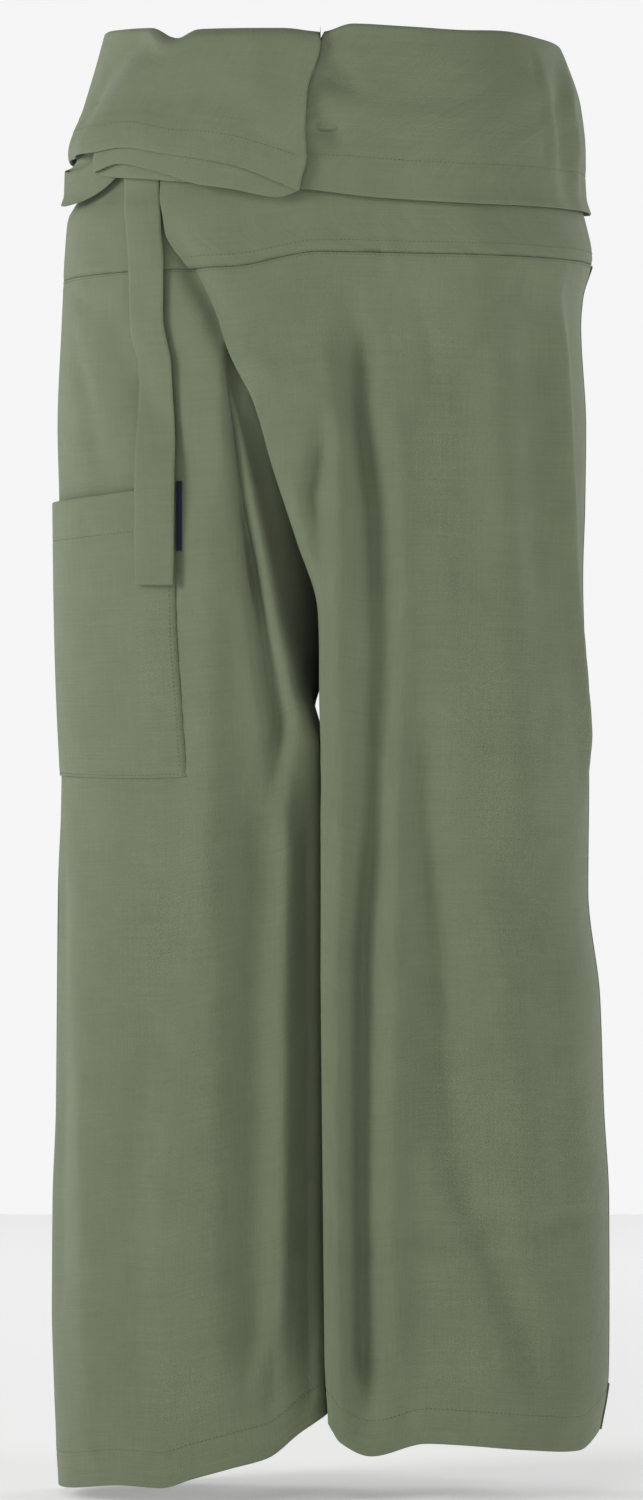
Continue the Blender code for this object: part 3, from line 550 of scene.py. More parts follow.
def front_right_line(height):
    """The right leg's front, from the side seam to the centre seam or inseam."""
    start = side_seam(height, "right") + HALF_SEAM
    pocket_side = read(POCKET_SIDE, "across", height)
    seam, lean = seam_place("right_seam", height, "front")
    along = np.array([math.cos(lean), -math.sin(lean)])
    away = np.array([math.sin(lean), math.cos(lean)])
    end = seam - STACKED * away
    ridge, soft = read(WRAP, "ridge", height), read(WRAP, "soft", height)
    falls_at, sink, turn_in = (read(FALL_BACK, name, height) for name in ("start", "sink", "turn_in"))
    deep_enough = min(turn_in, 0.6 * max(-end[1] - sink, 1))
    corners = [
        (pocket_side, 0, 0),
        (min(falls_at, ridge - 6), 0, 22),
        (ridge, -sink, min(soft, 9)),
        (ridge + 3 + 0.12 * turn_in, -sink - deep_enough, 6),
        (*(end - 10 * along), 6),
        (*end, 0),
    ]
    rest = rounded(corners, [12, 10, 12, 14, 4, 6, 10, 6, 4])
    side = [(start + (pocket_side - start) * k / TO_POCKET_SIDE, 0) for k in range(TO_POCKET_SIDE)]
    return np.array(side + list(rest))


points, right_places, flat = leg_panel("right", front_right_line, own_folds=RIGHT_FOLDS)
front_leg_right = cloth("front_leg_right_cloth", points, flat, olive_cotton)
declare(front_leg_right)

# Its sewing: one row under the waistband seam's edge, and one row round the hem, in matching thread.
THREAD_COLOUR = (0.088, 0.108, 0.062)
STITCH_LONG, STITCH_WIDE, STITCH_HIGH, STITCH_PITCH = 1.9, 0.62, 0.34, 2.7


def spun_thread(name, colour):
    made = bpy.data.materials.new(name)
    made.use_nodes = True
    tree = made.node_tree
    shader = tree.nodes["Principled BSDF"]
    place = node(tree, "ShaderNodeTexCoord").outputs["Object"]
    twist = node(tree, "ShaderNodeTexNoise", {"Vector": place, "Scale": 900.0})
    mixed = node(tree, "ShaderNodeMix", {0: twist.outputs[0]}, data_type="RGBA")
    mixed.inputs["A"].default_value = (*(0.8 * part for part in colour), 1)
    mixed.inputs["B"].default_value = (*(1.2 * part for part in colour), 1)
    tree.links.new(mixed.outputs["Result"], shader.inputs["Base Color"])
    shader.inputs["Roughness"].default_value = 0.7
    return made


olive_thread = spun_thread("olive_thread", THREAD_COLOUR)


def grid_normals(points, turned_round=False):
    """Unit vectors out of the cloth at each point of a grid."""
    down, across = np.gradient(points, axis=0), np.gradient(points, axis=1)
    normal = np.cross(down, across)
    normal /= np.maximum(np.linalg.norm(normal, axis=2), 1e-9)[..., None]
    return -normal if turned_round else normal


def stitches(name, rows):
    """One mesh of little raised stitches along rows of (points, normals), a pitch apart."""
    corners, faces = [], []
    for line, normal in rows:
        run = np.concatenate([[0], np.cumsum(np.linalg.norm(np.diff(line, axis=0), axis=1))])
        for at in np.arange(STITCH_PITCH, run[-1] - STITCH_PITCH / 2, STITCH_PITCH):
            middle, ahead, out = (
                np.array([np.interp(spot, run, values[:, axis]) for axis in range(3)])
                for spot, values in ((at, line), (at + 0.5, line), (at, normal))
            )
            forward = (ahead - middle) / np.linalg.norm(ahead - middle)
            out = out / np.linalg.norm(out)
            side = np.cross(forward, out) * STITCH_WIDE / 2
            top = middle + out * (PLY / 2 + STITCH_HIGH)
            low = middle + out * (PLY / 2 - 0.1)
            half = forward * STITCH_LONG / 2
            first = len(corners)
            corners += [low - half, low + half, low - side, low + side, top - half * 0.45, top + half * 0.45]
            sides = [(0, 2, 4), (2, 5, 4), (2, 1, 5), (1, 3, 5), (3, 4, 5), (3, 0, 4), (0, 3, 2), (1, 2, 3)]
            faces += [tuple(first + corner for corner in face) for face in sides]
    made = mesh_object(name, np.array(corners), faces, olive_thread)
    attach(made, "root")
    return made


def nearest_row(distance):
    """The row of the leg panels that lies nearest to a distance down the leg."""
    return int(np.argmin(np.abs(DOWN_LEG - distance)))


def leg_stitches(name, points, first, last, turned_round=False):
    normals = grid_normals(points, turned_round)
    kept = slice(first, last)
    rows = [nearest_row(distance) for distance in (2, LEG_LENGTH - HEM_DEEP)]
    return stitches(name, [(points[row, kept], normals[row, kept]) for row in rows])


RIDGE_COLUMN = TO_POCKET_SIDE + 48
leg_stitches("stitches_front_right", points, 0, RIDGE_COLUMN)


# The front of the left leg: its inner side laps over the right leg as the wrap. The cloth comes up from
# the centre seam, turns round the wrap's folded edge and falls to a loose, deep fold beside the inseam.
WRAP_SLOPE = table("height slope", [
    (-98, 13), (-127, 15), (-155, 16), (-188, 12), (-229, 8), (-278, 5), (-326, 3), (-368, 2), (-880, 2),
])
LEFT_FOLDS = [
    ([(6, -190), (2, -215), (-4, -250), (2, -285)], 8, -4.5),
    ([(6, -175), (9, -215), (9, -290), (9, -420)], 8, 3),
    ([(12, -420), (10, -560), (12, -700), (13, -850)], 9, 3),
    ([(-54, -150), (-40, -170), (-20, -180)], 8, 1.5),
]


def front_left_line(height):
    """The left leg's front, from the centre seam or inseam round the wrap's edge to the side seam."""
    seam, lean = seam_place("left_seam", height, "front")
    along = np.array([math.cos(lean), -math.sin(lean)])
    away = np.array([math.sin(lean), math.cos(lean)])
    start = seam + STACKED * away
    edge, lift, roll, near, far = (read(WRAP, name, height) for name in ("edge", "lift", "roll", "near", "far"))
    slope = read(WRAP_SLOPE, "slope", height)
    corners = [
        (*start, 0),
        (*(start - 10 * along), 6),
        (edge, lift - 2 * roll, roll),
        (edge, max(lift - roll, 1.2), roll / 2),
        (edge + slope, lift, slope / 2),
        (max(near, edge + slope + 8), lift, 12),
        (far, 0, 20),
        (side_seam(height, "left") - HALF_SEAM, 0, 0),
    ]
    return rounded(corners, LEFT_STEPS)


LEFT_STEPS = [4, 4, 14, 7, 2, 5, 6, 7, 8, 7, 6, 9, 44]
EDGE_COLUMN = 31

points, _, flat = leg_panel("left", front_left_line, own_folds=LEFT_FOLDS)
front_leg_left = cloth("front_leg_left_cloth", points, flat, olive_cotton)
declare(front_leg_left)
leg_stitches("stitches_front_left", points, EDGE_COLUMN, None)


# The two backs: the same cut without a wrap. They meet at the back centre seam, which runs down
# into the seat and on through the crotch to the inseams.
BACK_STEPS = [64, 14, 12]


def back_line(leg, height):
    """A leg's back, from the side seam to the centre seam or inseam."""
    seam, _ = seam_place(leg + "_seam", height, "back")
    inner = seam[0] + (-STACKED if leg == "right" else STACKED)
    gap = HALF_SEAM if leg == "right" else -HALF_SEAM
    corners = [
        (side_seam(height, leg, back=True) + gap, 0, 0),
        (inner, 0, read(BACK_SEAM, "soft", height)),
        (inner, seam[1], 0),
    ]
    return rounded(corners, BACK_STEPS)


for leg in ("right", "left"):
    points, _, flat = leg_panel(leg, lambda height: back_line(leg, height), back=True)
    panel = cloth(f"back_leg_{leg}_cloth", points, flat, olive_cotton, turned_round=leg == "right")
    declare(panel)
    leg_stitches(f"stitches_back_{leg}", points, 0, sum(BACK_STEPS[:2]), turned_round=leg == "right")


# The waistband front: one deep piece that stands up above the legs, is folded at the wrap's two edges
# and is then turned down over the tie, so that its inner layer comes outermost. Its free edge has a
# hem of 25 mm.
PITCH = 3.0
TURNED_GAP = 5.3
WAIST_WRAP = table("height edge fold", [
    (60, -84, -1), (49, -85, -1), (10, -94, -6), (-41, -104, -12), (-73, -101.5, -14), (-94, -90, -14),
    (-98, -87, -14.5), (-110, -80, -14.5),
])
TURNED_WRAP = table("height edge fold", [
    (60, -84, -1), (49, -84, -1.3), (20, -108, -9.5), (-8, -134, -11), (-22, -142, -10), (-34, -149, -13),
    (-52, -150, -16.7),
])
BAND_TOP = table("across height", [
    (-215, 61), (-185, 60), (-155, 58.5), (-115, 56.5), (-90, 48), (-77, 53.5), (-25, 53.5), (0, 51),
    (20, 56.5), (56, 55), (90, 53.5), (123, 54.5), (165, 52), (215, 51),
])
BAND_HEMS = {
    "inner": table("across height", [
        (-230, -24), (-183, -24), (-148, -23.8), (-125, -22), (-97, -27), (-58, -35), (-16, -51.5),
    ]),
    "middle": table("across height", [
        (-147, -36), (-130, -32), (-100, -39), (-78, -47), (-58, -50.5), (-28, -56), (-16, -52),
    ]),
    "outer": table("across height", [
        (-154, -36), (-137, -40), (-117, -42), (-77, -46), (-15, -50), (36, -55.5), (113, -59), (240, -59),
    ]),
}
BAND_UP, BAND_DOWN = 148.0, 92.0
BAND_HEM_DEEP = 25.0
UPRIGHT_ROWS, FOLD_ROWS, TURNED_ROWS = 38, 8, 44


def stack_line(edge, fold, start, end):
    """(across, layer) points of the folded band: inner layer 0, middle layer 1, outer layer 2, in pitches."""
    half, turns = PITCH / 2, np.linspace(0, math.pi, 9)
    inner = [(start + (fold - half - start) * k / 56, 0) for k in range(56)]
    fold_turn = [(fold - half + half * math.sin(a), half * (1 - math.cos(a))) for a in turns]
    middle = [(fold - half + (edge - fold + 2 * half) * k / 26, PITCH) for k in range(1, 26)]
    edge_turn = [(edge + half - half * math.sin(a), PITCH + half * (1 - math.cos(a))) for a in turns]
    outer = [(edge + half + (end - edge - half) * k / 90, 2 * PITCH) for k in range(1, 91)]
    return np.array(inner + fold_turn + middle + edge_turn + outer)


def outer_layer_lift(across, fold):
    """1 where the outer layer lies on the others, 0 where it is alone."""
    return 1 - ramp(across, fold + 5, fold + 65)


def stack_lift(across, turned_edge):
    """1 where the turned-down layers lie on each other, 0 where the inner one is alone."""
    return ramp(across, turned_edge - 45, turned_edge - 5)


def band_depths(across, layer, fold, turned_edge):
    """How far out the band stands before and after it is turned down."""
    lift, stacked = outer_layer_lift(across, fold), stack_lift(across, turned_edge)
    upright = layer * lift
    turned = 2 * PITCH * lift * stacked + TURNED_GAP + (2 * PITCH - layer) * stacked
    return upright, turned


def band_hem(across, layer):
    """Height of the turned-down edge in each layer."""
    inner, middle, outer = (read(BAND_HEMS[name], "height", across) for name in ("inner", "middle", "outer"))
    share = layer / PITCH
    return np.where(share < 1, inner + (middle - inner) * share, middle + (outer - middle) * (share - 1))


def band_rows():
    """(stage, share, inward, drop) of each row: up the inside, over the fold, down outside and into the hem."""
    rows = [("upright", k / UPRIGHT_ROWS, 0, 0) for k in range(UPRIGHT_ROWS)]
    rows += [("fold", k / FOLD_ROWS, 0, 0) for k in range(FOLD_ROWS)]
    rows += [("turned", k / TURNED_ROWS, 0, 0) for k in range(TURNED_ROWS + 1)]
    rows += [("turned", 1, inward, drop) for inward, drop in HEM_TURN]
    return rows + [("turned", 1 - up / 105, HEM_GAP, 0) for up in np.linspace(0, BAND_HEM_DEEP + 1, 6)]


# Folds that only the turned-down part has, one list for what shows of each layer.
FLAP_FOLDS = [
    ([(-77, 53), (-108, 42), (-158, 30), (-172, 8)], 9, -2.0),
    ([(-92, 50), (-128, 36), (-168, 22)], 7, 1.6),
    ([(-160, 22), (-188, 0), (-196, -18)], 9, -1.4),
    ([(-34, 46), (-40, 10), (-32, -30)], 12, 0.9),
    ([(-120, 2), (-70, 8), (-28, 2)], 9, -0.7),
]
BAND_FOLDS = [
    ([(-6, 27), (8, 21), (26, 12)], 7, -3.2),
    ([(-7, -6), (4, -14), (14, -26)], 6, -3.0),
    ([(0, 40), (30, 34), (70, 38)], 7, 1.0),
    ([(6, 4), (40, -6), (92, -4)], 9, 1.3),
    ([(30, 20), (70, 12), (110, 16)], 12, -0.9),
    ([(140.5, 56), (147.6, 11.5), (152, -17), (154, -60)], 1.6, -1.0),
    ([(147, 56), (154, 11), (159, -17), (161, -60)], 5, 0.9),
    ([(190, 44), (180, 6), (187, -20), (188, -58)], 6, 2.4),
    ([(172, 50), (168, 10), (173, -30), (175, -58)], 8, -1.6),
]


def front_band_row(stage, share, inward, drop):
    """One row of points of the waistband front, and its run along the folded cloth."""
    top_edge, top_fold = WAIST_WRAP["edge"][-1], WAIST_WRAP["fold"][-1]
    height, edge, fold, turned_edge = 50.0, top_edge, top_fold, top_edge
    if stage == "upright":
        height = BAND_SEAM_MIDDLE + share * BAND_UP
        edge, fold = read(WAIST_WRAP, "edge", height), read(WAIST_WRAP, "fold", height)
    if stage == "turned":
        height = 50 - share * BAND_DOWN
        edge, fold = read(TURNED_WRAP, "edge", height), read(TURNED_WRAP, "fold", height)
        turned_edge = edge
    line = stack_line(edge, fold, side_seam(height, "right") + HALF_SEAM, side_seam(height, "left") - HALF_SEAM)
    run = np.concatenate([[0], np.cumsum(np.hypot(*np.diff(line, axis=0).T))])
    across, layer = line.T
    upright, turned = band_depths(across, layer, fold, turned_edge)
    crown = np.where(across < fold, (TURNED_GAP + 4 * PITCH * stack_lift(across, turned_edge)) / 2, TURNED_GAP / 2)
    fold_height = read(BAND_TOP, "height", across) - crown
    seam_height = read(BAND_SEAM, "height", sideways(across, BAND_SEAM_MIDDLE)) + HALF_BAND_SEAM
    hem_height = band_hem(across, layer)
    from_side = np.minimum(run, run[-1] - run)
    groove = -0.5 * np.exp(-from_side / 2.0)
    if stage == "upright":
        tall = seam_height + share * (fold_height - seam_height)
        shift = groove + sewn_down(share * BAND_UP - 6.5, run) + sewn_down(share * BAND_UP - 1, run + 30)
        out = upright
    elif stage == "fold":
        radius = (turned - upright) / 2 - groove
        out = (turned + upright) / 2 - radius * math.cos(share * math.pi)
        tall = fold_height + radius * math.sin(share * math.pi)
        shift = np.zeros(len(run))
    else:
        tall = fold_height + share * (hem_height - fold_height)
        from_hem = (1 - share) * (fold_height - hem_height)
        folds = np.where(
            layer < PITCH / 2,
            fold_relief(FLAP_FOLDS, across, tall),
            np.where(layer > 1.5 * PITCH, fold_relief(BAND_FOLDS, across, tall), 0),
        )
        bellows = folds * ramp(share, 0, 0.12) + sewn_down(from_hem - BAND_HEM_DEEP, run)
        shift = inward - groove - bellows
        out = turned
    side = line + outward(line) * shift[:, None]
    across_shift, out_shift = (side - line).T
    out = out - out_shift if stage == "turned" else out + out_shift
    moved = settled(across + across_shift, out, height, tall)[0]
    return on_body(moved, out, tall - drop), run


def band_flat(rows, runs):
    """The flat cut of the band: how far up and over each row lies."""
    up = []
    for stage, share, inward, _ in rows:
        start = {"upright": 0.0, "fold": BAND_UP, "turned": BAND_UP + 8}[stage]
        span = {"upright": BAND_UP, "fold": 8.0, "turned": 105.0}[stage]
        up.append(start + span * ((2 - share) if inward else share))
    return np.stack([np.array(runs), np.broadcast_to(np.array(up)[:, None], np.shape(runs))], axis=-1)


rows = band_rows()
made_rows = [front_band_row(*row) for row in rows]
points = np.array([made[0] for made in made_rows])
flat = band_flat(rows, [made[1] for made in made_rows])
waistband_front = cloth("waistband_front_cloth", points, flat, olive_cotton, turned_round=True)
declare(waistband_front)

BAND_HEM_STITCH = UPRIGHT_ROWS + FOLD_ROWS + round(TURNED_ROWS * (1 - BAND_HEM_DEEP / 105))
normals = grid_normals(points)
EDGE_LAYER = 56 + 9 + 25 + 5
front_rows = [(points[row, EDGE_LAYER:], -normals[row, EDGE_LAYER:]) for row in (0, 2)]
front_rows += [
    (points[BAND_HEM_STITCH, :56], normals[BAND_HEM_STITCH, :56]),
    (points[BAND_HEM_STITCH, EDGE_LAYER:], normals[BAND_HEM_STITCH, EDGE_LAYER:]),
]
stitches("stitches_waistband_front", front_rows)


# The waistband back: the same band behind, turned down in one layer.
BACK_TOP = table("across height", [(-230, 61), (-150, 55), (0, 52), (150, 50), (230, 51)])
BACK_BAND_HEM = table("across height", [(-230, -24), (-120, -31), (0, -40), (120, -52), (230, -59)])


def back_band_row(stage, share, inward, drop):
    height = {"upright": BAND_SEAM_MIDDLE + share * BAND_UP, "fold": 50.0, "turned": 50 - share * BAND_DOWN}[stage]
    start = side_seam(height, "right", back=True) + HALF_SEAM
    end = side_seam(height, "left", back=True) - HALF_SEAM
    across = np.linspace(start, end, 130)
    run = across - start
    fold_height = read(BACK_TOP, "height", across) - TURNED_GAP / 2
    seam_height = read(BAND_SEAM, "height", sideways(across, BAND_SEAM_MIDDLE, back=True)) + HALF_BAND_SEAM
    hem_height = read(BACK_BAND_HEM, "height", across)
    groove = -0.5 * np.exp(-np.minimum(run, run[-1] - run) / 2.0)
    if stage == "upright":
        tall = seam_height + share * (fold_height - seam_height)
        out = groove + sewn_down(share * BAND_UP - 6.5, run) + sewn_down(share * BAND_UP - 1, run + 30)
    elif stage == "fold":
        radius = TURNED_GAP / 2 - groove
        out = TURNED_GAP / 2 - radius * math.cos(share * math.pi)
        tall = fold_height + radius * math.sin(share * math.pi)
    else:
        tall = fold_height + share * (hem_height - fold_height)
        from_hem = (1 - share) * (fold_height - hem_height)
        relief = sewn_down(from_hem - BAND_HEM_DEEP, run)
        out = TURNED_GAP + groove + relief - inward
    moved, out = settled(across, out, height, tall, back=True)
    return on_body(moved, out, tall - drop, back=True), run


made_rows = [back_band_row(*row) for row in rows]
points = np.array([made[0] for made in made_rows])
flat = band_flat(rows, [made[1] for made in made_rows])
waistband_back = cloth("waistband_back_cloth", points, flat, olive_cotton)
declare(waistband_back)
normals = grid_normals(points)
back_rows = [(points[row], normals[row]) for row in (0, 2)]
stitches("stitches_waistband_back", back_rows + [(points[BAND_HEM_STITCH], -normals[BAND_HEM_STITCH])])


# The pocket: a patch of the same cotton on the right thigh, folded under and stitched down on three
# sides. It reaches past the side seam on to the back, and its hemmed mouth stands a little open.
POCKET_ON_BACK = 30
POCKET_TOP = table("across height", [(-280, -251), (-193, -250), (-150, -247), (-119, -243), (-94, -239.5)])
POCKET_BOTTOM = table("across height", [(-280, -428), (-199, -430), (-144, -431), (-86, -429)])
POCKET_LIES = 0.95
POCKET_PUFF = 4.6
POCKET_HEM = 26.0
POCKET_EDGE = 2.6

grid = right_places[: len(DOWN_LEG), : TO_POCKET_SIDE + 1]
side, heights = grid[:, 0].T
past_seam = [np.column_stack([side - POCKET_ON_BACK * k / 10, heights]) for k in range(10, 0, -1)]
grid = np.concatenate([np.stack(past_seam, axis=1), grid], axis=1)
columns = grid.shape[1]
highest = read(POCKET_TOP, "height", grid[0, :, 0])
lowest = read(POCKET_BOTTOM, "height", grid[0, :, 0])
down = np.concatenate([np.linspace(0, 8, 5), np.linspace(11, 178, 58), np.linspace(180, 186, 4)])
down /= down[-1]
height = highest + down[:, None] * (lowest - highest)
across = np.stack([np.interp(height[:, j], grid[::-1, j, 1], grid[::-1, j, 0]) for j in range(columns)], axis=1)
u = np.linspace(0, 1, columns)[None, :] * np.ones_like(height)
v = (highest - height) / (highest - lowest)
puff = POCKET_PUFF * np.sin(math.pi * np.clip(u, 0, 1)) ** 0.7 * (1 - v**3)
from_top = v * 186
run = (u * 168)
sewn = sewn_down(from_top - POCKET_HEM, run) + sewn_down(186 - from_top - POCKET_EDGE, run)
sewn += sewn_down(168 - run - POCKET_EDGE, from_top)
outer_wall = on_body(across, POCKET_LIES + puff + sewn, height)
inner_hem = [
    on_body(across[0], POCKET_LIES + puff[0] - inward, height[0] + drop) for inward, drop in HEM_TURN[::-1]
]
rows_inside = [k for k in range(len(down)) if from_top[k, 0] < POCKET_HEM][::-2]
inside = [on_body(across[k], POCKET_LIES + puff[k] - HEM_GAP, height[k]) for k in rows_inside]
points = np.array([*inside, *inner_hem, *outer_wall])
down_cloth = np.concatenate([
    -from_top[rows_inside, 0], np.zeros(len(inner_hem)), from_top[:, 0],
])
flat = np.stack([np.broadcast_to(run[0], (len(points), columns)),
                 np.broadcast_to(-down_cloth[:, None], (len(points), columns))], axis=-1)
pocket = cloth("pocket_cloth", points, flat, olive_cotton)
declare(pocket)

normals = grid_normals(outer_wall)
hem_row = int(np.argmin(np.abs(from_top[:, 0] - POCKET_HEM)))
foot_row = int(np.argmin(np.abs(from_top[:, 0] - (186 - POCKET_EDGE))))
stitches("stitches_pocket", [
    (outer_wall[hem_row], normals[hem_row]),
    (outer_wall[foot_row, 1:-1], normals[foot_row, 1:-1]),
    (outer_wall[:foot_row, -2], normals[:foot_row, -2]),
    (outer_wall[:foot_row, 1], normals[:foot_row, 1]),
])


# The side tab: a short piece of plain navy tape, folded in half and caught in the pocket's side seam.
TAB_WIDE, TAB_TALL, TAB_TOP, TAB_THICK = 4.0, 45.0, -239.0, 1.0
TAPE_COLOUR = (0.012, 0.016, 0.035)


def padded_strip(name, outer, inner, flat, finish):
    """A closed strip of doubled cloth from the grids of its two faces, joined round their edges."""
    rows, columns = outer.shape[:2]
    index = np.arange(rows * columns).reshape(rows, columns)
    other = index + rows * columns
    faces = np.stack([index[:-1, :-1], index[1:, :-1], index[1:, 1:], index[:-1, 1:]], axis=-1).reshape(-1, 4)
    faces = faces.tolist() + (faces[:, ::-1] + rows * columns).tolist()
    round_edge = [*index[0, :-1], *index[:-1, -1], *index[-1, :0:-1], *index[:0:-1, 0]]
    under_edge = [*other[0, :-1], *other[:-1, -1], *other[-1, :0:-1], *other[:0:-1, 0]]
    count = len(round_edge)
    for k in range(count):
        m = (k + 1) % count
        faces.append((int(round_edge[k]), int(round_edge[m]), int(under_edge[m]), int(under_edge[k])))
    points = np.concatenate([outer.reshape(-1, 3), inner.reshape(-1, 3)])
    double = np.concatenate([flat.reshape(-1, 2), flat.reshape(-1, 2)])
    return mesh_object(name, points, faces, finish, double)


def strip_faces(points, normals, thickness):
    """Outer and inner faces of a strip that thins at its edges, where its cloth is folded."""
    u = np.linspace(-1, 1, points.shape[1])
    plump = thickness / 2 * (1 - 0.75 * np.abs(u) ** 6)
    return points + normals * plump[None, :, None], points - normals * plump[None, :, None]


height = np.linspace(TAB_TOP, TAB_TOP - TAB_TALL, 24)[:, None] * np.ones((1, 5))
across = read(POCKET_SIDE, "across", height) + 1.0 + TAB_WIDE * np.linspace(0, 1, 5)[None, :]
points = on_body(across, 1.3 + 0.15 * np.sin(height / 5), height)
flat = np.stack([across, height], axis=-1)

navy_tape = woven_cotton("navy_tape", tuple(1.25 * part for part in TAPE_COLOUR), TAPE_COLOUR)
side_tab = padded_strip("side_tab_tape", *strip_faces(points, grid_normals(points), TAB_THICK), flat, navy_tape)
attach(side_tab, "root")
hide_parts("side_tab")


# The tie: a strip sewn from doubled cotton with a row of stitches near each edge. It runs round the
# waist in the gap of the turned-down band, is knotted at the wearer's right, and hangs in one half bow
# and one free end.
STRIP = 1.5
STRIP_WIDE = 25.0
STRIP_SEWN = 3.2
KNOT_AT, KNOT_WIDE, KNOT_WALL = -121.0, 14.0, 1.4


def belt_out(across):
    """How far out the belt runs at the front: over the inner layer, then over the outer layer of the wrap."""
    return TURNED_GAP / 2 + 2 * PITCH * ramp(across, -146, -96) * outer_layer_lift(across, -4)


def declare_strip(piece, node_name):
    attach(piece, "root")
    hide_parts(node_name)


def run_down(points):
    """Length along the middle column of a strip's rows."""
    middle = points[:, points.shape[1] // 2]
    return np.concatenate([[0], np.cumsum(np.linalg.norm(np.diff(middle, axis=0), axis=1))])


def strip_flat(points):
    width = np.linspace(0, STRIP_WIDE, points.shape[1])
    along = run_down(points)
    return np.stack(np.meshgrid(width, along), axis=-1)


BELT_COLUMNS = np.linspace(-1, 1, 9)
start, end = side_seam(0, "right"), side_seam(0, "left")
back_start, back_end = side_seam(0, "right", back=True), side_seam(0, "left", back=True)
belt_runs = [
    (np.linspace(KNOT_AT + 1, end, 90), False),
    (np.linspace(back_end, back_start, 120)[1:], True),
    (np.linspace(start, KNOT_AT - 1, 30)[1:], False),
]
belt = []
for across, back in belt_runs:
    out = np.full(across.shape, TURNED_GAP / 2) if back else belt_out(across)
    wide = BELT_COLUMNS * STRIP_WIDE / 2
    belt.append(on_body(across[:, None], out[:, None], wide[None, :], back))
points = np.concatenate(belt)
normals = grid_normals(points, turned_round=True)
tie_belt = padded_strip("tie_belt_cloth", *strip_faces(points, -normals, STRIP), strip_flat(points), olive_cotton)
declare_strip(tie_belt, "tie_belt")

# The knot is a turn of the strip round the belt.
turn = np.linspace(0, math.tau, 29)
tall_half, deep_half = STRIP_WIDE / 2 + 0.9, 1.9
height = tall_half * np.sign(np.sin(turn)) * np.abs(np.sin(turn)) ** 0.5
deep = deep_half * np.sign(np.cos(turn)) * np.abs(np.cos(turn)) ** 0.35
across = KNOT_AT + KNOT_WIDE * np.linspace(-0.5, 0.5, 7)
points = on_body(across[None, :], belt_out(across)[None, :] + deep[:, None], height[:, None] * np.ones((1, 7)))
flat = np.stack(np.meshgrid(np.linspace(0, KNOT_WIDE, 7), np.linspace(0, 58, 29)), axis=-1)
tie_knot = cloth("tie_knot_cloth", points, flat, olive_cotton, ply=0.9)
declare_strip(tie_knot, "tie_knot")

TAIL = table("height start end out", [
    (-15, -130, -107, 6), (-40, -131, -105, 6), (-76, -128, -104, 5.5), (-100, -127, -102, 4.5),
    (-133, -127, -102, 4), (-146, -127, -100, 4), (-163, -123, -96.5, 4.5), (-198, -121, -95.5, 5),
    (-228, -120, -94, 7.5), (-250, -119.5, -93.5, 8.5), (-284, -120, -93.5, 8.2), (-306, -120, -94, 7.8),
])
TAIL_COLUMNS = np.linspace(0, 1, 13)

height = np.linspace(TAIL["height"][-1], TAIL["height"][0], 120)[::-1, None]
start, end, out = (read(TAIL, name, height) for name in ("start", "end", "out"))
across = start + (end - start) * TAIL_COLUMNS[None, :]
from_edge = np.minimum(TAIL_COLUMNS, 1 - TAIL_COLUMNS)[None, :] * STRIP_WIDE
curl = 0.5 * np.sin(height / 31) * (2 * TAIL_COLUMNS[None, :] - 1)
out = out + curl + 0.8 * sewn_down(from_edge - STRIP_SEWN, height)
height = height * np.ones((1, 13))
points = on_body(across, out, height)
normals = grid_normals(points)
outer, inner = strip_faces(points, normals, STRIP)
tie_tail = padded_strip("tie_tail_cloth", outer, inner, strip_flat(points), olive_cotton)
declare_strip(tie_tail, "tie_tail")

SEWN_COLUMNS = (2, 10)
TAIL_END_ROW = 118
lift = STRIP / 2 - PLY / 2
stitches("stitches_tie_tail", [
    *((points[:TAIL_END_ROW, k] + normals[:TAIL_END_ROW, k] * lift, normals[:TAIL_END_ROW, k]) for k in SEWN_COLUMNS),
    (points[TAIL_END_ROW - 1, 2:11] + normals[TAIL_END_ROW - 1, 2:11] * lift, normals[TAIL_END_ROW - 1, 2:11]),
])

LOOP = [
    (-143, -30, 6.4, 45), (-152, -36, 6.4, 40), (-164, -41, 7, 30), (-178, -44, 8.5, 15), (-191, -45, 10.4, 5),
    (-199, -44, 11.4, 0), (-204, -43, 9.8, 0), (-205, -42, 7.4, 0), (-201, -41, 5.4, 0), (-190, -38, 4.2, 10),
    (-175, -34, 3.6, 20), (-160, -28, 3.3, 30), (-149, -24, 3.3, 40),
]


def smooth_run(values, count):
    """More points on a soft curve through a few values."""
    index = np.arange(len(values))
    rows = {"place": index.astype(float), "value": np.asarray(values, float)}
    return read(rows, "value", np.linspace(0, len(values) - 1, count))


across, height, out, tilt = (smooth_run(column, 84) for column in np.array(LOOP, float).T)
half = (STRIP_WIDE / 2 - 1) * np.linspace(-1, 1, 11)[None, :]
points = on_body(
    across[:, None] + half * np.sin(np.radians(tilt))[:, None],
    out[:, None] + 0 * half,
    height[:, None] - half * np.cos(np.radians(tilt))[:, None],
)
normals = grid_normals(points)
tie_loop = padded_strip("tie_loop_cloth", *strip_faces(points, normals, 1.2), strip_flat(points), olive_cotton)
declare_strip(tie_loop, "tie_loop")


# The studio: a wide pale floor just under the hems, and large soft lights in front and above.
FLOOR_AT = -0.903
FLOOR_REACH = 3.0
LIGHTS = [
    ("left_light", (-3.2, -1.9, 0.6), 1.6, 72),
    ("right_light", (3.2, -1.7, 0.4), 1.6, 34),
    ("front_light", (-0.6, -4.4, 2.2), 1.4, 22),
    ("back_left_light", (-2.6, 3.0, 0.8), 2.0, 44),
    ("back_right_light", (2.6, 3.0, 0.8), 2.0, 44),
]

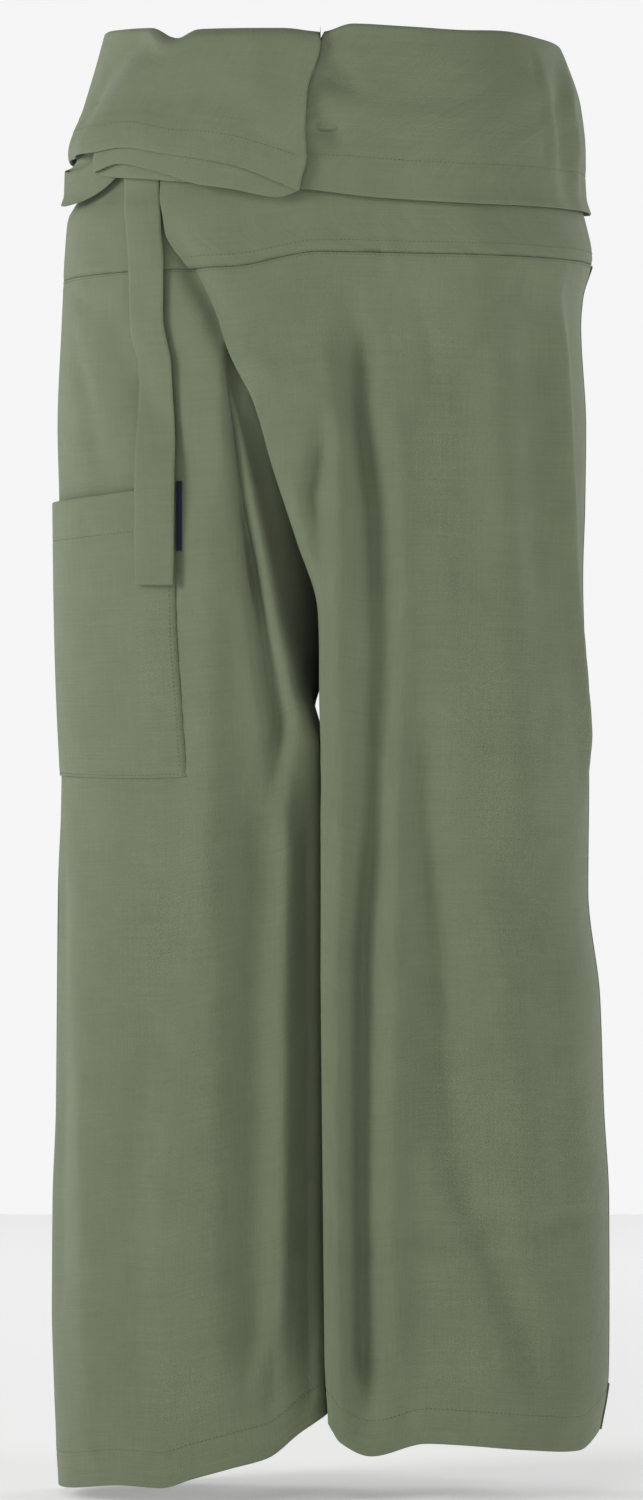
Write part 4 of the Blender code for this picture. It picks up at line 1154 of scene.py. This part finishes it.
floor_points = np.array([(-1, -1, 0), (1, -1, 0), (1, 1, 0), (-1, 1, 0)], float) * FLOOR_REACH / TO_METRES
floor_points[:, 2] = FLOOR_AT / TO_METRES
pale_floor = bpy.data.materials.new("pale_floor")
pale_floor.use_nodes = True
tree = pale_floor.node_tree
grain = node(tree, "ShaderNodeTexNoise", {"Scale": 6.0})
mixed = node(tree, "ShaderNodeMix", {0: grain.outputs[0]}, data_type="RGBA")
mixed.inputs["A"].default_value = (0.90, 0.90, 0.90, 1)
mixed.inputs["B"].default_value = (0.92, 0.92, 0.92, 1)
tree.links.new(mixed.outputs["Result"], tree.nodes["Principled BSDF"].inputs["Base Color"])
tree.nodes["Principled BSDF"].inputs["Roughness"].default_value = 0.9
tree.nodes["Principled BSDF"].inputs["Emission Color"].default_value = (1, 1, 1, 1)
tree.nodes["Principled BSDF"].inputs["Emission Strength"].default_value = 0.3
floor = mesh_object("floor", floor_points, [(0, 1, 2, 3)], pale_floor)

MIDDLE = np.array([0.0, 0.0, -0.42])
for name, place, size, power in LIGHTS:
    light = bpy.data.lights.new(name, "AREA")
    light.shape = "DISK"
    light.size = size
    light.energy = power
    lamp = bpy.data.objects.new(name, light)
    lamp.location = place
    aim = MIDDLE - np.array(place)
    turn = math.atan2(aim[1], aim[0]) - math.pi / 2
    tip = math.atan2(aim[2], math.hypot(aim[0], aim[1])) + math.pi / 2
    lamp.rotation_euler = (tip, 0, turn)
    bpy.context.scene.collection.objects.link(lamp)

world = bpy.data.worlds.new("studio")
world.use_nodes = True
tree = world.node_tree
ray = node(tree, "ShaderNodeTexCoord").outputs["Generated"]
apart = node(tree, "ShaderNodeSeparateXYZ", {0: ray})
bright = node(tree, "ShaderNodeMapRange", {"Value": apart.outputs["Z"], "From Min": 0.1, "From Max": 0.2,
                                           "To Min": 0.92, "To Max": 0.12})
tree.links.new(bright.outputs[0], tree.nodes["Background"].inputs["Strength"])
tree.nodes["Background"].inputs["Color"].default_value = (1.0, 1.0, 1.0, 1)
bpy.context.scene.world = world
bpy.context.scene.view_settings.view_transform = "Standard"
